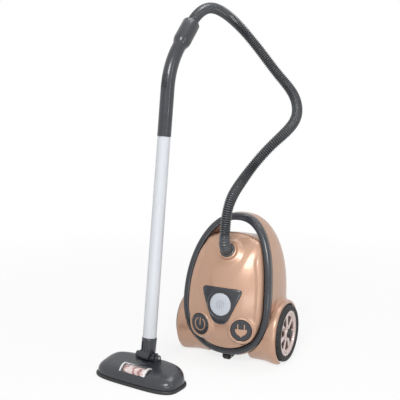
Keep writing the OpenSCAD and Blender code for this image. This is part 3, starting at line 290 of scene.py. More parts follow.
def clear():
    """Clear plastic with a slight haze."""
    mat, nodes, links, shader = new_material("window_clear")
    haze = noise(nodes, links, 90, 4)
    links.new(spread(nodes, links, haze, 0.03, 0.09), shader.inputs["Roughness"])
    links.new(two_tone(nodes, links, haze, (0.93, 0.95, 0.96), (0.97, 0.98, 0.99)), shader.inputs["Base Color"])
    links.new(bump(nodes, links, noise(nodes, links, 160), 0.05, 0.0002), shader.inputs["Normal"])
    shader.inputs["Transmission Weight"].default_value = 0.95
    shader.inputs["IOR"].default_value = 1.2
    return mat


clear_mat = clear()

FINISH = {
    "copper_plastic": copper, "dark_plastic": dark, "black_plastic": black, "grey_plastic": tube_mat,
    "hub_plastic": hub_mat, "tyre": tyre_mat, "hose_plastic": hose_mat, "steel": steel, "board": board_mat,
    "cells": cell_mat, "clear_plastic": clear_mat, "white_plastic": glint_white_mat, "roller_plastic": roller_mat,
}
for part in frame["record"]["subparts"]:
    mesh = frame["nodes"][part["node"]].data
    finish = button_mat if part["node"] == "sound_button" else FINISH[part["material_slot"]]
    mesh.materials.clear()
    mesh.materials.append(finish)

# Mesh making


def make(name, points, faces):
    """A new object from points in the body's frame, with its faces turned outwards."""
    mesh = bpy.data.meshes.new(name)
    mesh.from_pydata([tuple(p) for p in put(points)], [], faces)
    shape = bmesh.new()
    shape.from_mesh(mesh)
    bmesh.ops.remove_doubles(shape, verts=shape.verts, dist=1e-7)
    bmesh.ops.recalc_face_normals(shape, faces=shape.faces)
    shape.to_mesh(mesh)
    shape.free()
    obj = bpy.data.objects.new(name, mesh)
    scene.collection.objects.link(obj)
    return obj


def loft(rings, loop=False):
    """Points and faces of a skin through rings: a closed loop of rings, or a body with flat ends."""
    rings = np.asarray(rings, float)
    rows, count = rings.shape[:2]
    faces = []
    for j in range(rows if loop else rows - 1):
        a, b = j * count, (j + 1) % rows * count
        for i in range(count):
            k = (i + 1) % count
            faces.append((a + i, a + k, b + k, b + i))
    if not loop:
        faces.append(tuple(range(count - 1, -1, -1)))
        faces.append(tuple(range((rows - 1) * count, rows * count)))
    return rings.reshape(-1, 3), faces


def unit(v):
    v = np.asarray(v, float)
    return v / np.linalg.norm(v)


def circle(count):
    """Evenly spaced turns, from 0 to just short of a full turn."""
    return np.arange(count) * 2 * pi / count


def basis(axis, side=(1, 0, 0)):
    """Two ways square to an axis, and the axis, all of length 1."""
    axis = unit(axis)
    side = np.asarray(side, float)
    side = unit(side - (side @ axis) * axis)
    return side, np.cross(axis, side), axis


LEAST_R = 0.002  # stands for 0 at the tip of a turned body


def lathe(name, profile, place, axis, sides=96, closed=True):
    """A turned body: profile of (radius, height) round an axis; closed is a ring-shaped body."""
    side, other, axis = basis(axis, (1, 0, 0) if abs(unit(axis)[0]) < 0.9 else (0, 1, 0))
    turn = circle(sides)
    round_ = np.cos(turn)[:, None] * side + np.sin(turn)[:, None] * other
    rings = [np.asarray(place) + h * axis + max(r, LEAST_R) * round_ for r, h in profile]
    return make(name, *loft(rings, loop=closed))


def rod(name, place, axis, radius, low, high, sides=96):
    return lathe(name, [(radius, low), (radius, high)], place, axis, sides, closed=False)


def block(name, low, high):
    (a, b, c), (d, e, f) = low, high
    points = [(a, b, c), (d, b, c), (d, e, c), (a, e, c), (a, b, f), (d, b, f), (d, e, f), (a, e, f)]
    faces = [(0, 3, 2, 1), (4, 5, 6, 7), (0, 1, 5, 4), (1, 2, 6, 5), (2, 3, 7, 6), (3, 0, 4, 7)]
    return make(name, points, faces)


def discard(obj):
    mesh = obj.data
    bpy.data.objects.remove(obj)
    bpy.data.meshes.remove(mesh)


def combine(obj, tool, operation):
    """A boolean with its result kept in the mesh."""
    step = obj.modifiers.new("step", "BOOLEAN")
    step.operation = operation
    step.solver = "EXACT"
    step.object = tool
    graph = bpy.context.evaluated_depsgraph_get()
    done = bpy.data.meshes.new_from_object(obj.evaluated_get(graph))
    obj.modifiers.clear()
    old = obj.data
    obj.data = done
    bpy.data.meshes.remove(old)
    discard(tool)
    return obj


def cut(obj, *tools):
    for tool in tools:
        combine(obj, tool, "DIFFERENCE")
    return obj


def join(obj, *tools):
    for tool in tools:
        combine(obj, tool, "UNION")
    return obj


def dress(obj, mat, body, slot, *nodes, sharp=32):
    """Closes small holes, then gives the finish, smooth shading with true edges, and the body to ride on."""
    shape = bmesh.new()
    shape.from_mesh(obj.data)
    bmesh.ops.remove_doubles(shape, verts=shape.verts, dist=2e-6)
    bmesh.ops.dissolve_degenerate(shape, edges=shape.edges, dist=1e-6)
    bmesh.ops.holes_fill(shape, edges=[e for e in shape.edges if e.is_boundary], sides=12)
    shape.to_mesh(obj.data)
    shape.free()
    obj.data.materials.clear()
    obj.data.materials.append(mat)
    obj.data.polygons.foreach_set("use_smooth", [True] * len(obj.data.polygons))
    obj.data.set_sharp_from_angle(angle=radians(sharp))
    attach(obj, body)
    if nodes:
        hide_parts(*nodes)
    return obj


# Hose

HOSE_D, HOSE_BORE, RIBS, RIB_DEPTH = 19.0, 14.0, 180, 1.9
HIGH, HIGH_WAY = np.array([-75.1157, -48.1709, 564.524]), np.array([0.0726116, 0.690853, 0.71934])
LOW, LOW_WAY = np.array([0, -54.9314, 226.633]), unit([0, sin(radians(10)), cos(radians(10))])
ROUTE = [
    (-69, 25, 614), (-59, 88, 597), (-33, 116, 560), (-4, 121, 524), (23, 125, 489), (57, 121, 458),
    (76, 90, 421), (71, 50, 398), (49, 26, 374), (20, 19, 339), (6, -6, 309), (3, -36, 290),
]
controls = np.array([HIGH + i * HOSE_D * HIGH_WAY for i in (-1, 0, 1, 2)] + [np.array(p, float) for p in ROUTE]
                    + [LOW + i * HOSE_D * LOW_WAY for i in (2, 1, 0, -1)])


def on_route(place):
    """Points of the cubic B-spline that the controls lead; place counts its spans."""
    i = np.minimum(len(controls) - 4, np.floor(place).astype(int))
    t = (place - i)[:, None]
    a, b, c, d = controls[i], controls[i + 1], controls[i + 2], controls[i + 3]
    return ((1 - t) ** 3 * a + (3 * t ** 3 - 6 * t * t + 4) * b + (3 * t + 3 * t * t - 3 * t ** 3 + 1) * c
            + t ** 3 * d) / 6


trace = on_route(np.linspace(0, len(controls) - 3, 4001))[::-1]
run = np.concatenate([[0], np.cumsum(np.linalg.norm(np.diff(trace, axis=0), axis=1))])
HOSE_LEN = run[-1]


def along(table, at):
    """Rows of a table that goes with the trace, at lengths along it."""
    return np.stack([np.interp(at, run, table[:, k]) for k in range(3)], axis=1)


def tube_rings(at, radii, sides):
    """Rings square to the route, carried along it without twist."""
    mid = along(trace, at)
    way = along(np.gradient(trace, run, axis=0), at)
    way /= np.linalg.norm(way, axis=1, keepdims=True)
    side = np.array([1.0, 0, 0])
    rings = []
    turn = circle(sides)
    for p, w, r in zip(mid, way, radii):
        side = unit(side - (side @ w) * w)
        rings.append(p + r * (np.cos(turn)[:, None] * side + np.sin(turn)[:, None] * np.cross(w, side)))
    return rings


# Share of a groove's depth at each step along one rib
RIB_SHAPE = np.array([0.0, 0.25, 0.75, 1.0, 0.75, 0.25])
RIB_STEPS, HOSE_SIDES, BORE_RINGS, ROUTE_POINTS = len(RIB_SHAPE), 24, 121, 161

steps = np.arange(RIBS * RIB_STEPS + 1)
outer_at = np.minimum(steps * HOSE_LEN / (RIBS * RIB_STEPS), HOSE_LEN)
outer_r = HOSE_D / 2 - RIB_DEPTH * RIB_SHAPE[steps % RIB_STEPS]
bore_at = np.linspace(HOSE_LEN, 0, BORE_RINGS)[::-1]
bore_rings = tube_rings(bore_at, np.full(BORE_RINGS, HOSE_BORE / 2), HOSE_SIDES)[::-1]
hose = make("ribbed_hose", *loft(tube_rings(outer_at, outer_r, HOSE_SIDES) + bore_rings, loop=True))
dress(hose, hose_mat, "hose_run", "hose_plastic", "hose", sharp=80)
# The grooves' deepest faces take a second, near-black material, which is painted shade in the grooves
hose.data.materials.append(groove_shade_mat)
ring_of = np.arange(len(hose.data.polygons)) // HOSE_SIDES
groove_shade_faces = (ring_of < RIBS * RIB_STEPS) & np.isin(ring_of % RIB_STEPS, (2, 3))
hose.data.polygons.foreach_set("material_index", groove_shade_faces.astype(np.int32))

# Shapes of the body

# The hoop's half width, and the heights of its widest place, its top and its bottom
HALF_W, WIDEST_Z, TOP_Z, BOTTOM_Z = 82.0, 105.0, 254.0, 13.5
# The hoop's section, how far it stands ahead of the axle, and how its arch leans back above a height
HOOP_W, HOOP_D, HOOP_AHEAD, ARCH_BACK, LEAN_FROM = 12.0, 14.0, 50.0, 60.0, 60.0
# The deck under the arch, its crest, the cover's bulge, the wall and two fits
DECK_Z, CREST, CROWN, WALL, SEAM, SLIP = 206.0, 16.0, 25.0, 2.5, 0.4, 0.3
CREST_Z, CREST_HALF = DECK_Z + CREST, 0.72 * HALF_W
# The rear shell's bottom and back, the strap at the top of the arch and the hollow behind it
SHELL_BOTTOM, SHELL_BACK, STRAP_D, SCOOP_R = 9.0, 62.0, 10.0, 52.0
UP, DOWN = TOP_Z - WIDEST_Z, WIDEST_Z - BOTTOM_Z
WHEEL_R, WHEEL_OUT, TYRE_W, AXLE_R = 50.0, 100.0, 20.5, 3.0
EGG_TOP, EGG_LOW = 2.3, 2.2
FAR = 200.0  # past every part of the body


def egg_r(turn, half, up, low):
    """Radius of the egg-shaped outline about the widest height, from its reach to the side, up and down."""
    s, c = np.sin(turn), np.cos(turn)
    power = np.where(s > 0, EGG_TOP, EGG_LOW)
    tall = np.abs(s) / np.where(s > 0, up, low)
    return ((np.abs(c) / half) ** power + tall ** power) ** (-1 / power)


def hoop_r(turn, inset):
    return egg_r(turn, HALF_W - inset, UP - inset, DOWN - inset)


def face_on(turn, r):
    """x and z at a turn and a radius about the widest height, as seen from the front."""
    return r * np.cos(turn), WIDEST_Z + r * np.sin(turn)


def hoop_y(z):
    """Depth of the middle of the hoop at a height."""
    return ARCH_BACK * np.maximum(0, (z - LEAN_FROM) / (TOP_Z - LEAN_FROM)) ** 2 - HOOP_AHEAD


def deck_r(turn):
    s = np.sin(turn)
    return np.where(s > 0.01, (DECK_Z - WIDEST_Z) / np.maximum(s, 0.01), TOP_Z)


def deck_at(x, slope):
    """Height of the deck, which is crested in front (slope 1) and flat at the back (slope 0)."""
    return DECK_Z + slope * CREST * (1 - (x / CREST_HALF) ** 2)


def crest_r(turn):
    s, c = np.sin(turn), np.cos(turn)
    bow, top = CREST * (c / CREST_HALF) ** 2, CREST_Z - WIDEST_Z
    return np.where(s > 0.01, 2 * top / np.maximum(1e-6, s + np.sqrt(s * s + 4 * bow * top)), TOP_Z)


def cover_r(turn):
    return np.minimum(hoop_r(turn, HOOP_W + SEAM), crest_r(turn))


def crown_at(share):
    return CROWN * np.maximum(0, 1 - share ** 2.4) ** (1 / 1.8)


def cover_y(x, z):
    share = np.hypot(x, z - WIDEST_Z) / cover_r(np.arctan2(z - WIDEST_Z, x))
    return hoop_y(z) - crown_at(share)


def ease(value, start, end):
    """0 before start, 1 after end, smooth between."""
    t = np.clip((value - start) / (end - start), 0, 1)
    return t * t * (3 - 2 * t)


BUTTON_Z, BUTTON_R, BUTTON_TILT, BEZEL_PROUD = 109.0, 19.5, radians(8), 2.5
BUTTON_AT = np.array([0, float(cover_y(0.0, BUTTON_Z)) - BEZEL_PROUD, BUTTON_Z])
BUTTON_WAY = np.array([0, -cos(BUTTON_TILT), sin(BUTTON_TILT)])
PORT_Z, PORT_R, PORT_TILT, PORT_PROUD = 198.0, 12.0, radians(55), 8.5
PORT_AT = np.array([0, float(cover_y(0.0, PORT_Z)) - PORT_PROUD, PORT_Z])
PORT_WAY = np.array([0, -sin(PORT_TILT), cos(PORT_TILT)])
DISC_X, DISC_Z, DISC_PROUD, DISC_YAW, DISC_TILT = 39.0, 68.0, 3.5, radians(13), radians(4)


def disc_frame(side):
    """Place of a small button and the way it faces."""
    place = np.array([side * DISC_X, float(cover_y(DISC_X, DISC_Z)) - DISC_PROUD, DISC_Z])
    ahead = cos(DISC_TILT)
    return place, np.array([side * sin(DISC_YAW) * ahead, -cos(DISC_YAW) * ahead, sin(DISC_TILT)])


def lift(points, place, way, height, flat_r, end_r):
    """Raises a surface towards a height along a way, flat to flat_r and fading out at end_r."""
    rel = points - place
    h = rel @ way
    rho = np.linalg.norm(rel - h[..., None] * way, axis=-1)
    weight = 1 - ease(rho, flat_r, end_r)
    return points + (np.maximum(0, height - h) * weight)[..., None] * way


# Front cover: one skin with a raised foot round the port and a raised pad round each small button
RIM_RISE = 5.5
cover_turns = circle(240)
shares = np.sin(np.linspace(0.03, 1, 64) * pi / 2)


def rim_rise(share):
    """Brings the cover level with the hoop beside it; along the crest the cover keeps its own edge."""
    beside = ease(crest_r(cover_turns) - hoop_r(cover_turns, HOOP_W + SEAM), 2, 16)
    return RIM_RISE * beside * (ease(share, 0.80, 0.97) - 0.2 * ease(share, 0.98, 1.0))


def cover_rings(inset):
    rings = []
    for share in shares:
        r = share * (cover_r(cover_turns) - inset)
        x, z = face_on(cover_turns, r)
        rise = 0 if inset else rim_rise(share)
        y = hoop_y(z) - crown_at(np.full_like(r, share)) - rise + inset
        rings.append(np.stack([x, y, z], 1))
    return np.array(rings)


outer = lift(cover_rings(0), PORT_AT, PORT_WAY, height=-5.0, flat_r=16.5, end_r=27.5)
for side in (-1, 1):
    outer = lift(outer, *disc_frame(side), height=-1.2, flat_r=21.5, end_r=29.0)
cover = make("cover_skin", *loft(np.concatenate([outer, cover_rings(WALL)[::-1]])))
cut(cover, rod("a", PORT_AT, PORT_WAY, 14.5, -34, 14), rod("b", BUTTON_AT, BUTTON_WAY, 21.0, -20, 10))
collar = [(PORT_R, -17), (PORT_R, -0.7), (12.5, 0.0), (13.4, 0.35), (14.6, 0.35), (15.5, 0.0), (16.0, -0.8),
          (16.3, -3), (16.8, -5), (17.6, -6.5), (19.0, -8.5), (19.5, -12), (18, -17)]
join(cover, lathe("c", collar, PORT_AT, PORT_WAY, 120))
cup = [(19.8, -9.6), (19.8, -4.3), (22.2, -4.3), (22.2, -12), (4.3, -12), (4.3, -9.6)]
join(cover, lathe("d", cup, BUTTON_AT, BUTTON_WAY, 96))
for side in (-1, 1):
    place, way = disc_frame(side)
    cut(cover, rod("e", place, way, 20.4, -20, 10))
    ring = [(18.8, -8.7), (18.8, -0.7), (19.1, 0.0), (19.8, 0.45), (20.6, 0.5), (21.4, 0.15), (22.1, -0.7),
            (22.5, -1.9), (22.0, -5), (21.2, -11.1), (4.3, -11.1), (4.3, -8.7)]
    join(cover, lathe("f", ring, place, way, 120))
dress(cover, copper, "canister", "copper_plastic", "front_cover")

# Hoop: a rounded section swept round the body, whose top is the carrying arch
HOOP_ROUND = 0.66
hoop_turns = circle(320)
section = circle(28)


def rounded(value, power):
    """A sine or cosine squared off by a power below 1."""
    return np.sign(value) * np.abs(value) ** power


inset = HOOP_W / 2 * (1 - rounded(np.cos(section), HOOP_ROUND))
behind = HOOP_D / 2 * rounded(np.sin(section), HOOP_ROUND)
hoop_rings = []
for turn in hoop_turns:
    x, z = face_on(turn, hoop_r(turn, inset))
    hoop_rings.append(np.stack([x, hoop_y(z) + behind, z], 1))
hoop = make("hoop_sweep", *loft(hoop_rings, loop=True))
dress(hoop, dark, "canister", "dark_plastic", "handle_hoop", sharp=70)

# Rear shell
shell_turns = circle(192)


def shell_front(z):
    return hoop_y(z) + HOOP_D / 2 + SEAM


def shell_r(turn, inset):
    return egg_r(turn, HALF_W - 1 - inset, UP - 1 - inset, WIDEST_Z - SHELL_BOTTOM - inset)


def axle_rod(name, side, radius, low, high, sides=128):
    """A rod on a wheel's axle, from low to high out from the middle of the body."""
    return rod(name, (0, 0, WHEEL_R), (side, 0, 0), radius, low, high, sides)


def shell_body(name, inset, under_deck, front, turns, rows):
    """The rear shell as a full body, or inset and kept under the deck as its hollow."""
    rings = []
    for depth in np.linspace(0, 1, rows) ** 1.15 * pi / 2:
        r = shell_r(turns, inset)
        if under_deck:
            r = np.minimum(r, deck_r(turns) - inset / np.maximum(0.01, np.abs(np.sin(turns))))
        z = WIDEST_Z + r * np.sin(turns)
        y = shell_front(z) - front
        draw = 0.52 + 0.48 * max(0.0, cos(depth)) ** 0.6
        rise = np.where(np.sin(turns) > 0, draw, 1 - (1 - draw) * 0.2)
        widen = draw + 0.06 * sin(2 * depth)
        rings.append(np.stack([widen * r * np.cos(turns), y + (SHELL_BACK - inset - y) * sin(depth) ** 0.8,
                               WIDEST_Z + rise * r * np.sin(turns)], 1))
    return make(name, *loft(rings))


shell = shell_body("rear_skin", 0, False, 0, shell_turns, 40)
shell_tree = BVHTree.FromPolygons([v.co for v in shell.data.vertices],
                                  [tuple(p.vertices) for p in shell.data.polygons])
cut(shell, shell_body("a", WALL, True, 1, shell_turns[::2], 20))
window_turns = np.arange(193) / 192 * pi
half_gap = HALF_W * (1 - ((DECK_Z - WIDEST_Z) / UP) ** EGG_TOP) ** (1 / EGG_TOP) - HOOP_W


def opening_ring(y, slope):
    """Outline of the hole under the carrying arch, over the deck."""
    x, z = face_on(window_turns, hoop_r(window_turns, HOOP_W))
    arch = np.stack([x, np.full_like(x, y), z], 1)
    x = np.linspace(-half_gap, half_gap, 41)
    deck = np.stack([x, np.full_like(x, y), deck_at(x, slope)], 1)
    return np.concatenate([arch[arch[:, 2] > deck_at(arch[:, 0], 1)], deck])


def prism(name, outline, low, high):
    """A body with one outline of x and z from depth low to depth high."""
    x, z = outline
    return make(name, *loft([np.stack([x, np.full_like(x, y), z], 1) for y in (low, high)]))


crest_y = float(hoop_y(CREST_Z))
opening = [opening_ring(crest_y - 30, 1)]
opening += [opening_ring(crest_y + (SHELL_BACK - crest_y) * t, 1 - t ** 1.15) for t in np.linspace(0, 1, 13)]
opening.append(opening_ring(SHELL_BACK + 90, 0))
lip_z = np.linspace(DECK_Z - WALL, CREST_Z - 0.02, 12)
lip_side = [(float(hoop_y(z)) + WALL + SEAM, z) for z in lip_z]
lip_back = crest_y + WALL + HOOP_D
lip_side = [(lip_back, lip_z[0])] + lip_side + [(lip_back, lip_z[-1])]
half_lip = 0.74 * HALF_W - HOOP_W - SEAM
lip = make("b", *loft([[(x, y, z) for y, z in lip_side] for x in (-half_lip, half_lip)]))
within_hoop = face_on(shell_turns, hoop_r(shell_turns, HOOP_W + SEAM))
combine(lip, prism("c", within_hoop, -FAR, FAR), "INTERSECT")
join(shell, lip)
cut(shell, make("d", *loft(opening)))
cut(shell, rod("e", (0, float(shell_front(TOP_Z)) + STRAP_D + SCOOP_R, 0), (0, 0, 1), SCOOP_R, CREST_Z, 300, 128))
WELL_R, ARCH_R, SKIRT, RIM, PAST_WHEEL = 52.2, 58.0, 40.0, 94.0, 150.0
CASTER_AT = (0, -31, 0)
arch_front = float(shell_front(WHEEL_R + ARCH_R))
for side in (-1, 1):
    well = axle_rod("e", side, ARCH_R + SLIP, SKIRT - SLIP, PAST_WHEEL)
    cut(well, block("f", (-FAR, -FAR, -50), (FAR, arch_front - SLIP, 300)))
    cut(shell, well, axle_rod("g", side, WHEEL_R + 1.1, WHEEL_OUT - TYRE_W - 1.1, PAST_WHEEL))
# Room for the caster's socket, seats of the three shell screws, and the battery cover's place
cut(shell, rod("h", CASTER_AT, (0, 0, 1), 21, -5, 16.5), rod("i", CASTER_AT, (0, 0, 1), 24.3, 14.5, 17.5))
for x, z in ((-0.24, 1.48), (0.24, 1.48), (0, 0.69)):
    cut(shell, rod("j", (x * HALF_W, SHELL_BACK, z * WIDEST_Z), (0, 1, 0), 3.3, -1.25, 2, 32))
cut(shell, block("k", (-33.4, -1.0, 5), (33.4, 35.0, 10.4)))
dress(shell, copper, "canister", "copper_plastic", "rear_shell")

FILLET_FROM, FILLET_OUT = 14.0, 91.0


def side_reach(radius, turn, side):
    """Half width of the rear shell at a radius and turn round the axle; None ahead of it or under it."""
    y, z = radius * cos(turn), WHEEL_R + radius * sin(turn)
    if z < FILLET_FROM or y < float(shell_front(z)) + 1:
        return None
    hit = shell_tree.ray_cast(Vector(put((side * PAST_WHEEL, y, z))), Vector((-side, 0, 0)))[0]
    return None if hit is None else abs(hit.x * 1000 - SHIFT[0])


def fillet(side, root_r=56.8, spread_r=16.0, climb=13.0):
    """A hollow-faced band that runs from the arch into the shell, thinning out where the shell ends."""
    turns = -pi / 2 + circle(240)
    there = np.array([side_reach(root_r, t, side) is not None and side_reach(root_r + spread_r, t, side) is not None
                      for t in turns], float)
    nearby = range(-10, 11)
    least = np.min([np.roll(there, k) for k in nearby], axis=0)
    sizes = np.mean([np.roll(least, k) for k in nearby], axis=0)
    rings = []
    for turn, size in zip(turns[sizes > 0.02], sizes[sizes > 0.02]):
        near = side_reach(root_r, turn, side)
        end_r = root_r + spread_r * size
        far = side_reach(end_r, turn, side) or near
        high = min(near + climb * size, FILLET_OUT)
        t = np.linspace(0, 1, 12)
        r = (1 - t) ** 2 * root_r + 2 * t * (1 - t) * root_r + t * t * end_r
        x = (1 - t) ** 2 * high + 2 * t * (1 - t) * near + t * t * (far - 0.15)
        r = np.concatenate([r, [end_r - 0.02, root_r - 2.0, root_r - 2.0]])
        x = np.concatenate([x, [far - 3.0, near - 3.0, high - 0.5]])
        rings.append(np.stack([side * x, r * cos(turn), WHEEL_R + r * sin(turn)], 1))
    return make("fillet", *loft(rings))


def absorb(obj, other):
    """Takes another closed body's faces into a piece."""
    shape = bmesh.new()
    shape.from_mesh(obj.data)
    shape.from_mesh(other.data)
    shape.to_mesh(obj.data)
    shape.free()
    discard(other)
    return obj


def wheel_arch(side, name, node):
    """A flared arch round a wheel, hollow inside, with a flat foot and a fillet to the shell."""
    inner = [(54.0 + 4.0 * float(ease(x, 62, 88)), x) for x in np.linspace(SKIRT, 87, 22)]
    lip = [(54.6 + 3.4 * cos(t) ** 0.8, 87.5 + 6.5 * sin(t) ** 0.9) for t in np.linspace(0.05, pi / 2, 14)]
    body = lathe(name, [(0, SKIRT)] + inner + lip + [(0, RIM)], (0, 0, WHEEL_R), (side, 0, 0), 160, closed=False)
    hollow = axle_rod("a", side, 51.5, SKIRT + 2.3, WHEEL_OUT - TYRE_W - 4.5, 96)
    cut(hollow, block("b", (-FAR, -FAR, -60), (FAR, FAR, 6.3)))
    cut(body, hollow, axle_rod("c", side, WELL_R, WHEEL_OUT - TYRE_W - 2.2, PAST_WHEEL),
        axle_rod("d", side, AXLE_R + 0.05, 10, PAST_WHEEL, 48), block("e", (-FAR, -FAR, -60), (FAR, FAR, 4)))
    r = np.maximum(hoop_r(shell_turns, -SEAM), shell_r(shell_turns, -SEAM))
    cut(body, prism("f", face_on(shell_turns, r), -FAR, arch_front))
    absorb(body, fillet(side))
    return dress(body, copper, "canister", "copper_plastic", node, sharp=40)


wheel_arch(-1, "left_flare", "left_wheel_arch")
wheel_arch(1, "right_flare", "right_wheel_arch")

NOTCH = 1.1


def tyre(side, name, node):
    """Rounded tyre with two tread grooves, notched shoulders and a ring groove in its outer wall."""
    profile = [(40, 79.9), (40.6, 79.5), (45, 79.5), (47, 80.2), (48.9, 81.8), (49.7, 84), (50, 86), (50, 88.2),
               (49.2, 88.5), (49.2, 89.7), (50, 90), (50, 91.6), (49.2, 91.9), (49.2, 93.1), (50, 93.4), (49.7, 95.6),
               (48.9, 97.8), (47, 99.4), (45.6, 100), (45.0, 100), (44.7, 99.5), (43.2, 99.5), (42.9, 100), (42, 100),
               (40.4, 99.2), (40, 98)]
    count = 288
    turn = circle(count)
    notch = np.where(np.arange(count) % 12 < 4, NOTCH, 0.0)
    rings = []
    for r, h in profile:
        on_shoulder = 80 < h < 84.5 or 95 < h < 99
        reach = r - notch * on_shoulder
        rings.append(np.stack([np.full(count, side * h), reach * np.cos(turn), WHEEL_R + reach * np.sin(turn)], 1))
    return dress(make(name, *loft(rings, loop=True)), tyre_mat, node.replace("tyre", "wheel"), "tyre", node)


tyre(-1, "left_tread", "left_tyre")
tyre(1, "right_tread", "right_tyre")

# Big button: a low dome with a cluster of sound holes
HOLE_PITCH, HOLE_R = 3.4, 0.9
dome = [(0, -16.0), (4, -16.0), (4, -6.2), (19.5, -6.2), (19.5, -2.2), (19.2, -1.6), (18.6, -1.25)]
dome += [(r, -1.2 + 0.75 * (1 - (r / 18.6) ** 2)) for r in (16, 13, 10, 7, 4, 2)]
button = lathe("button_dome", dome + [(0, -0.45)], BUTTON_AT, BUTTON_WAY, 96, closed=False)
across, upward, _ = basis(BUTTON_WAY)
for i in range(-2, 3):
    for j in range(-2, 3):
        if abs(i) + abs(j) < 4:
            hole_at = BUTTON_AT + HOLE_PITCH * (i * across + j * upward)
            cut(button, rod("a", hole_at, BUTTON_WAY, HOLE_R, -2.2, 2, 16))
dress(button, button_mat, "big_button", "grey_plastic", "sound_button")

# Bezel: a rounded triangle with a round dish for the big button
BEZEL_ROUND = 6
BEZEL_SIDES = ((90, 28), (-90, 35), (-24, 25.5), (204, 25.5))  # the way each side faces, in degrees, and its reach
bezel_turns = circle(192)


def facing(way, reach):
    return (np.maximum(0, np.cos(bezel_turns - radians(way))) / reach) ** BEZEL_ROUND


bezel_r = sum(facing(way, reach) for way, reach in BEZEL_SIDES) ** (-1 / BEZEL_ROUND)


def bezel_ring(share, proud, dish):
    """A ring between the button's hole (share 0) and the outline (share 1), proud of the cover."""
    hole = BUTTON_R + SLIP
    r = hole + (np.maximum(hole + 2.4, bezel_r) - hole) * share
    x, z = r * np.cos(bezel_turns), BUTTON_Z + r * np.sin(bezel_turns)
    dip = dish * (1 - ease(r, 23.0, 24.6))
    return np.stack([x, cover_y(x, z) - proud + dip, z], 1)


tops = np.concatenate([np.linspace(0, 0.8, 16), 1 - 0.2 * np.cos(np.linspace(0.15, 1, 8) * pi / 2)])
bezel_rings = [bezel_ring(s, BEZEL_PROUD * (0.3 + 0.7 * max(0.0, 1 - s ** 7) ** 0.5), 0.9) for s in tops]
bezel_rings += [bezel_ring(s, 0.15, 0) for s in (1, 0.5, 0)]
bezel = make("bezel_dish", *loft(bezel_rings, loop=True))
dress(bezel, dark, "canister", "dark_plastic", "button_bezel", sharp=40)

# Elbow and wand


def bend_rings(path_r, stations, sides=64):
    """Rings along a straight run, a bend and a straight run; a station is (turn, along, radius)."""
    way = circle(sides)
    rings = []
    for turn, ahead, r in stations:
        s, c = sin(turn), cos(turn)
        rings.append(np.stack([r * np.cos(way), path_r * (1 - c) + ahead * s + r * np.sin(way) * c,
                               path_r * s + ahead * c - r * np.sin(way) * s], 1))
    return np.array(rings)


def turned_x(points, angle):
    """Rotation about X that takes +Z to -Y for a positive angle."""
    s, c = sin(angle), cos(angle)
    x, y, z = np.moveaxis(np.asarray(points, float), -1, 0)
    return np.stack([x, c * y - s * z, s * y + c * z], -1)


def turned_z(points, angle):
    s, c = sin(angle), cos(angle)
    x, y, z = np.moveaxis(np.asarray(points, float), -1, 0)
    return np.stack([c * x - s * y, s * x + c * y, z], -1)


ELBOW_TURN, ELBOW_BEND, ELBOW_RISE, ELBOW_TIP = radians(65), 20.0, 5.0, 6.0
ELBOW_R, ELBOW_BORE, ELBOW_RIB, STEM = 10.1, 7.0, 1.6, 22.0
bends = np.linspace(0, ELBOW_TURN, 64)
RIB_PITCH = HOSE_LEN / RIBS


def ribbed(run_mm, deep):
    """Radius of the elbow's ribs, which go on from the hose's."""
    return ELBOW_R - deep * (0.5 - 0.5 * cos(2 * pi * run_mm / RIB_PITCH))


stem = [(-STEM, 11.4), (-21.5, 11.95), (-5, 11.95), (-5, ELBOW_R), (-4.7, ELBOW_R), (-4.7, 12.8), (-4.4, 13.2),
        (-3.8, 13.2), (-3.5, 12.8), (-3.4, 10.6), (-2.8, ELBOW_R)]
stations = [(0, h, r) for h, r in stem]
for turn in bends:
    run_mm = ELBOW_BEND * (ELBOW_TURN - turn) + ELBOW_TIP
    stations.append((turn, 0, ribbed(run_mm, ELBOW_RIB * float(ease(turn, 0.1, 0.4)))))
stations += [(ELBOW_TURN, h, ribbed(ELBOW_TIP - h, ELBOW_RIB)) for h in np.linspace(0.4, 5.9, 15)]
stations.append((ELBOW_TURN, ELBOW_TIP, ELBOW_BORE))
stations += [(t, 0, ELBOW_BORE) for t in bends[::-1]] + [(0, -STEM, ELBOW_BORE)]
elbow_rings = turned_x(bend_rings(ELBOW_BEND, stations) + np.array([0, 0, ELBOW_RISE]), PORT_TILT) + PORT_AT
elbow = make("elbow_bend", *loft(elbow_rings, loop=True))
dress(elbow, hose_mat, "hose_run", "dark_plastic", "hose_elbow", sharp=60)

# Foot of the wand, how the nozzle is turned, the wand's lean and its hinge
FOOT = np.array([-87.5, -166.0, 0.0])
TURN, LEAN, HINGE_Z = radians(-6), radians(8), 34.0


def on_nozzle(points):
    return turned_z(points, TURN) + FOOT


def on_wand(points):
    return on_nozzle(turned_x(points, -LEAN) + np.array([0, 0, HINGE_Z]))


NECK_LEN, TUBE_LEN, STRAIGHT, BEND_R, BEND = 32.0, 333.0, 78.0, 120.0, radians(36)
ARM_Z = NECK_LEN + TUBE_LEN + STRAIGHT
HANDLE_R, HANDLE_BORE, SOCKET_R, SOCKET_END = 11.5, 9.7, 10.7, -62.0
BARREL_R, BARREL_BORE, REACH = 15.0, 11.45, 54.0


def on_arm(points):
    """Frame at the start of the handle's bend."""
    return on_wand(np.asarray(points) + np.array([0, 0, ARM_Z]))


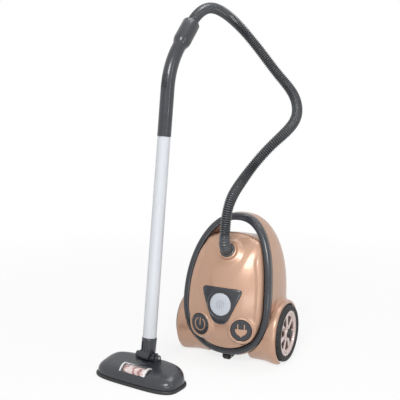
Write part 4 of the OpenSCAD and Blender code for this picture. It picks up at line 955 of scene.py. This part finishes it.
grip_turns = np.linspace(0, BEND, 28)
stations = [(0, -STRAIGHT, 11.0), (0, 0.5 - STRAIGHT, HANDLE_R)]
stations += [(0, h, HANDLE_R) for h in np.linspace(-60, -8, 6)] + [(t, 0, HANDLE_R) for t in grip_turns]
flare = np.linspace(0.06, 1, 14)
stations += [(BEND, 16 * s, HANDLE_R + (BARREL_R - HANDLE_R) * float(ease(s, 0, 1))) for s in flare]
barrel = [(40, BARREL_R), (52.6, BARREL_R), (53.4, 14.8), (53.9, 14.3), (REACH, 13.8), (REACH, BARREL_BORE),
          (33.4, BARREL_BORE), (33.4, HANDLE_BORE)]
stations += [(BEND, h, r) for h, r in barrel] + [(t, 0, HANDLE_BORE) for t in grip_turns[::-1]]
stations += [(0, SOCKET_END, HANDLE_BORE), (0, SOCKET_END, SOCKET_R), (0, -STRAIGHT, SOCKET_R)]
handle = make("grip_sweep", *loft(on_arm(bend_rings(BEND_R, stations)), loop=True))
SLIDER_TURN = radians(4)


def on_slider(points):
    """Frame of the air slider, a little way up the handle's bend."""
    s, c = sin(SLIDER_TURN), cos(SLIDER_TURN)
    x, y, z = np.moveaxis(np.asarray(points, float), -1, 0)
    return on_arm(np.stack([x, BEND_R * (1 - c) + z * s + y * c, BEND_R * s + z * c - y * s], -1))


def placed_block(name, where, low, high, round_=0.0):
    """A block in the wand's, the slider's or the nozzle's frame, with its edges rounded if asked."""
    (a, b, c), (d, e, f) = low, high
    obj = make(name, *loft([where([(x, b, c), (x, e, c), (x, e, f), (x, b, f)]) for x in (a, d)]))
    if round_:
        shape = bmesh.new()
        shape.from_mesh(obj.data)
        bmesh.ops.bevel(shape, geom=shape.edges[:], offset=round_ / 1000, segments=3, profile=0.5, affect="EDGES")
        shape.to_mesh(obj.data)
        shape.free()
    return obj


cut(handle, placed_block("a", on_slider, (-4.3, -24, -11.3), (4.3, -10.3, 11.3)))
# A low frame round the slider's slot: half its size, the roundness of its corners, half its section
FRAME_X, FRAME_Z, FRAME_ROUND, FRAME_WIDE, FRAME_HIGH = 5.6, 14.0, 0.35, 0.7, 0.5
around = circle(72)
frame_line = np.stack([FRAME_X * rounded(np.cos(around), FRAME_ROUND),
                       FRAME_Z * rounded(np.sin(around), FRAME_ROUND)], 1)
frame_ways = np.roll(frame_line, -1, 0) - np.roll(frame_line, 1, 0)
rings = []
for (x, z), ahead in zip(frame_line, frame_ways):
    out = np.array([-ahead[1], ahead[0]]) / max(1e-6, float(np.hypot(*ahead)))
    ring = []
    for b in circle(10):
        u, v = x + FRAME_WIDE * cos(b) * out[0], z + FRAME_WIDE * cos(b) * out[1]
        bow = BEND_R - (BEND_R ** 2 - v * v) ** 0.5
        r = HANDLE_R + FRAME_HIGH * sin(b)
        ring.append((r * sin(u / HANDLE_R), bow - r * cos(u / HANDLE_R), v))
    rings.append(on_slider(ring))
absorb(handle, make("c", *loft(rings, loop=True)))
# Finger ribs on the inside of the bend
FINGER_R = 1.15
arc = np.linspace(radians(48), radians(132), 15)
for turn in BEND * np.linspace(0.12, 0.98, 7):
    rings = []
    for k, a in enumerate(arc):
        thin = max(0.15, sin(pi * (k + 0.35) / (len(arc) - 0.3))) ** 0.5
        ring = []
        for b in circle(10):
            r = HANDLE_R - 0.1 + FINGER_R * thin * cos(b)
            ahead = FINGER_R * thin * sin(b)
            ring.append((r * cos(a), BEND_R * (1 - cos(turn)) + ahead * sin(turn) + r * sin(a) * cos(turn),
                         BEND_R * sin(turn) + ahead * cos(turn) - r * sin(a) * sin(turn)))
        rings.append(ring)
    join(handle, make("b", *loft(on_arm(rings))))
dress(handle, dark, "wand", "dark_plastic", "wand_handle")

slider = placed_block("slider_grip", on_slider, (-4, -12.5, -7), (4, -10.6, 7), 0.5)
for z in (-4.6, -2.3, 0.0, 2.3, 4.6):
    join(slider, placed_block("a", on_slider, (-3.2, -13.7, z - 0.6), (3.2, -12.0, z + 0.6), 0.35))
dress(slider, dark, "slider", "black_plastic", "air_slider")


def wand_lathe(name, profile, closed=True, sides=96):
    turn = circle(sides)
    rings = []
    for r, h in profile:
        r = max(r, LEAST_R)
        rings.append(on_wand(np.stack([r * np.cos(turn), r * np.sin(turn), np.full(sides, h)], 1)))
    return make(name, *loft(rings, loop=closed))


def cross_rod(name, where, y, z, radius, low, high, sides=64):
    """A rod along X in the wand's or the nozzle's frame."""
    turn = circle(sides)
    rings = [where(np.stack([np.full(sides, x), y + radius * np.cos(turn), z + radius * np.sin(turn)], 1))
             for x in (low, high)]
    return make(name, *loft(rings))


PIN_R = 2.55  # bore for the hinge's pin

# Tube with a soft edge at each end, and the neck that holds it
tube_profile = [(9.7, 16.3), (11.45, 16.3), (11.45, 32.0), (11.1, 32.3), (11.4, 32.9), (11.5, 34), (11.1, 198),
                (10.75, 363.2), (10.68, 364.2), (10.65, 365), (10.65, 380.7), (8.85, 380.7)]
tube = wand_lathe("tube_draw", tube_profile)
dress(tube, tube_mat, "wand", "grey_plastic", "wand_tube")
neck_profile = [(0, 4), (8, 4), (9.6, 5.4), (11.6, 7.4), (12.2, 9), (12.35, 20), (12.5, 28.6), (12.5, 31.2),
                (12.2, 31.8), (11.8, 32), (11.5, 32), (11.5, 16), (0, 16)]
neck = wand_lathe("neck_socket", neck_profile, closed=False)
join(neck, cross_rod("a", on_wand, 0, 0, 8, -16, 16))
for x in (-5.5, 0.0, 5.5):
    join(neck, placed_block("b", on_wand, (x - 0.7, -13.0, 9.5), (x + 0.7, -11.0, 26.5), 0.4))
APRON = ((11.0, 9.0, -11.4), (8.5, 10.2, -12.2), (5.0, 10.2, -12.6), (1.0, 8.6, -12.6), (-2.2, 6.6, -12.3),
         (-3.0, 6.0, -11.8))  # height, half width and front of each row
apron = [on_wand([(-w, y, z), (w, y, z), (w, y + 3.4, z), (-w, y + 3.4, z)]) for z, w, y in APRON]
join(neck, make("d", *loft(apron)))
cut(neck, cross_rod("c", on_wand, 0, 0, PIN_R, -30, 30, 32))
dress(neck, dark, "wand", "dark_plastic", "nozzle_neck")

# Nozzle

NOZZLE_W, NOZZLE_D, HOOD_H, SOLE_H, MID, WINDOW_Y = 162.0, 72.0, 30.0, 6.0, -20.0, -32.0
outline_turns = circle(160)


def outline(half_w, front, rear):
    """x and y round the nozzle, from its reach to the side, to the front and to the rear."""
    c, s = np.cos(outline_turns), np.sin(outline_turns)
    power = np.where(s > 0, 0.62, 0.52)
    return half_w * rounded(c, power), MID + np.where(s > 0, rear, front) * rounded(s, power)


def hood_rings(inset):
    low = SOLE_H + SLIP - (1 if inset else 0)
    rings = []
    for turn in np.linspace(0, 1, 30) ** 0.9 * pi / 2:
        c = max(0.0, cos(turn)) ** 0.7

        def drawn(top):
            return top + (1 - top) * c

        x, y = outline((NOZZLE_W / 2 - 3) * drawn(0.7) - inset, (NOZZLE_D / 2 - 3) * drawn(0.3) - inset,
                       (NOZZLE_D / 2 - 3) * drawn(0.8) - inset)
        z = low + (HOOD_H - inset - low) * sin(turn) ** 0.7 * (1 - 0.6 * np.maximum(0, -y) / NOZZLE_D)
        rings.append(np.stack([x, y, z], 1))
    return np.array(rings)


HOOD_WALL = 2.2
EAR_IN, EAR_OUT, EAR_R, ROLLER_Z = 16.3, 22.3, 5.5, 14
hood = make("hood_dome", *loft(on_nozzle(hood_rings(0))))
cut(hood, make("a", *loft(on_nozzle(hood_rings(HOOD_WALL)))))
for side in (-1, 1):
    low, high = sorted((side * EAR_IN, side * EAR_OUT))
    ear = cross_rod("b", on_nozzle, 0, HINGE_Z, EAR_R, low, high)
    join(ear, placed_block("c", on_nozzle, (low, -EAR_R, 17), (high, EAR_R, HINGE_Z)))
    join(hood, ear)
cut(hood, cross_rod("d", on_nozzle, 0, HINGE_Z, 8.6, -EAR_IN, EAR_IN),
    cross_rod("e", on_nozzle, WINDOW_Y, ROLLER_Z, 14.7, -25.7, 25.7, 96),
    cross_rod("f", on_nozzle, 0, HINGE_Z, PIN_R, -40, 40, 32))
PLATE = ((-9.2, 13.5, 29.6), (-12.0, 12.0, 29.2), (-15.0, 9.0, 28.4), (-17.6, 6.4, 27.2),
         (-18.2, 5.6, 26.2))  # depth, half width and top of each row
plate = [on_nozzle([(-w, y, z - 5), (w, y, z - 5), (w, y, z), (-w, y, z)]) for y, w, z in PLATE]
join(hood, make("g", *loft(plate)))
dress(hood, dark, "nozzle", "dark_plastic", "nozzle_hood")

# Sole: a bumper with a rounded edge, the roller's slot and its two brackets
edge = [(0, 2.2), (0.5, 0.8), (1.6, 0.1), (3.0, 0.0), (4.6, 0.2), (5.6, 0.9), (6.0, 2.2)]
SLOT_HALF, BRACKET_OUT, SCREW_X = 22.0, 25.0, 61.56
rings = []
for z, inset in edge:
    x, y = outline(NOZZLE_W / 2 - inset, NOZZLE_D / 2 - inset, NOZZLE_D / 2 - inset)
    rings.append(on_nozzle(np.stack([x, y, np.full_like(x, z)], 1)))
sole = make("sole_bumper", *loft(rings))
cut(sole, placed_block("a", on_nozzle, (-SLOT_HALF, WINDOW_Y - 11, -2), (SLOT_HALF, WINDOW_Y + 11, 9)))
for side in (-1, 1):
    low, high = sorted((side * SLOT_HALF, side * BRACKET_OUT))
    bracket = placed_block("b", on_nozzle, (low, WINDOW_Y - 5.5, 3), (high, WINDOW_Y + 5.5, 17))
    cut(bracket, cross_rod("c", on_nozzle, WINDOW_Y, ROLLER_Z, 2.0, -40, 40, 32))
    join(sole, bracket)
    for y in (MID - 18, MID + 18):
        spot = on_nozzle((side * SCREW_X, y, 0.0))
        cut(sole, rod("d", spot, (0, 0, 1), 3.3, -2, 3, 32), rod("e", spot, (0, 0, 1), 1.8, -2, 9, 32))
dress(sole, black, "nozzle", "black_plastic", "nozzle_sole")

# Floor: pale, and nearly white to the camera, so that only the soft shadow near the object shows

FLOOR_HALF = 9000
floor = make("floor", [(-FLOOR_HALF, -FLOOR_HALF, 0), (FLOOR_HALF, -FLOOR_HALF, 0), (FLOOR_HALF, FLOOR_HALF, 0),
                       (-FLOOR_HALF, FLOOR_HALF, 0)], [(0, 1, 2, 3)])
mat, nodes, links, shader = new_material("pale_floor")
shader.inputs["Base Color"].default_value = (0.9, 0.9, 0.9, 1)
shader.inputs["Roughness"].default_value = 0.9
shader.inputs["Specular IOR Level"].default_value = 0.0
glow = nodes.new("ShaderNodeEmission")
glow.inputs["Strength"].default_value = 1.0
coords = nodes.new("ShaderNodeTexCoord")
away = nodes.new("ShaderNodeVectorMath")
away.operation = "LENGTH"
links.new(coords.outputs["Object"], away.inputs[0])
glow_share = nodes.new("ShaderNodeMath")
glow_share.operation = "MULTIPLY"
links.new(background_rays(mat.node_tree), glow_share.inputs[0])
links.new(spread(nodes, links, away.outputs["Value"], 0.8, 1.0, 0.35, 1.1), glow_share.inputs[1])
mixed = nodes.new("ShaderNodeMixShader")
links.new(glow_share.outputs[0], mixed.inputs[0])
links.new(shader.outputs[0], mixed.inputs[1])
links.new(glow.outputs[0], mixed.inputs[2])
links.new(mixed.outputs[0], nodes["Material Output"].inputs["Surface"])
floor.data.materials.append(mat)
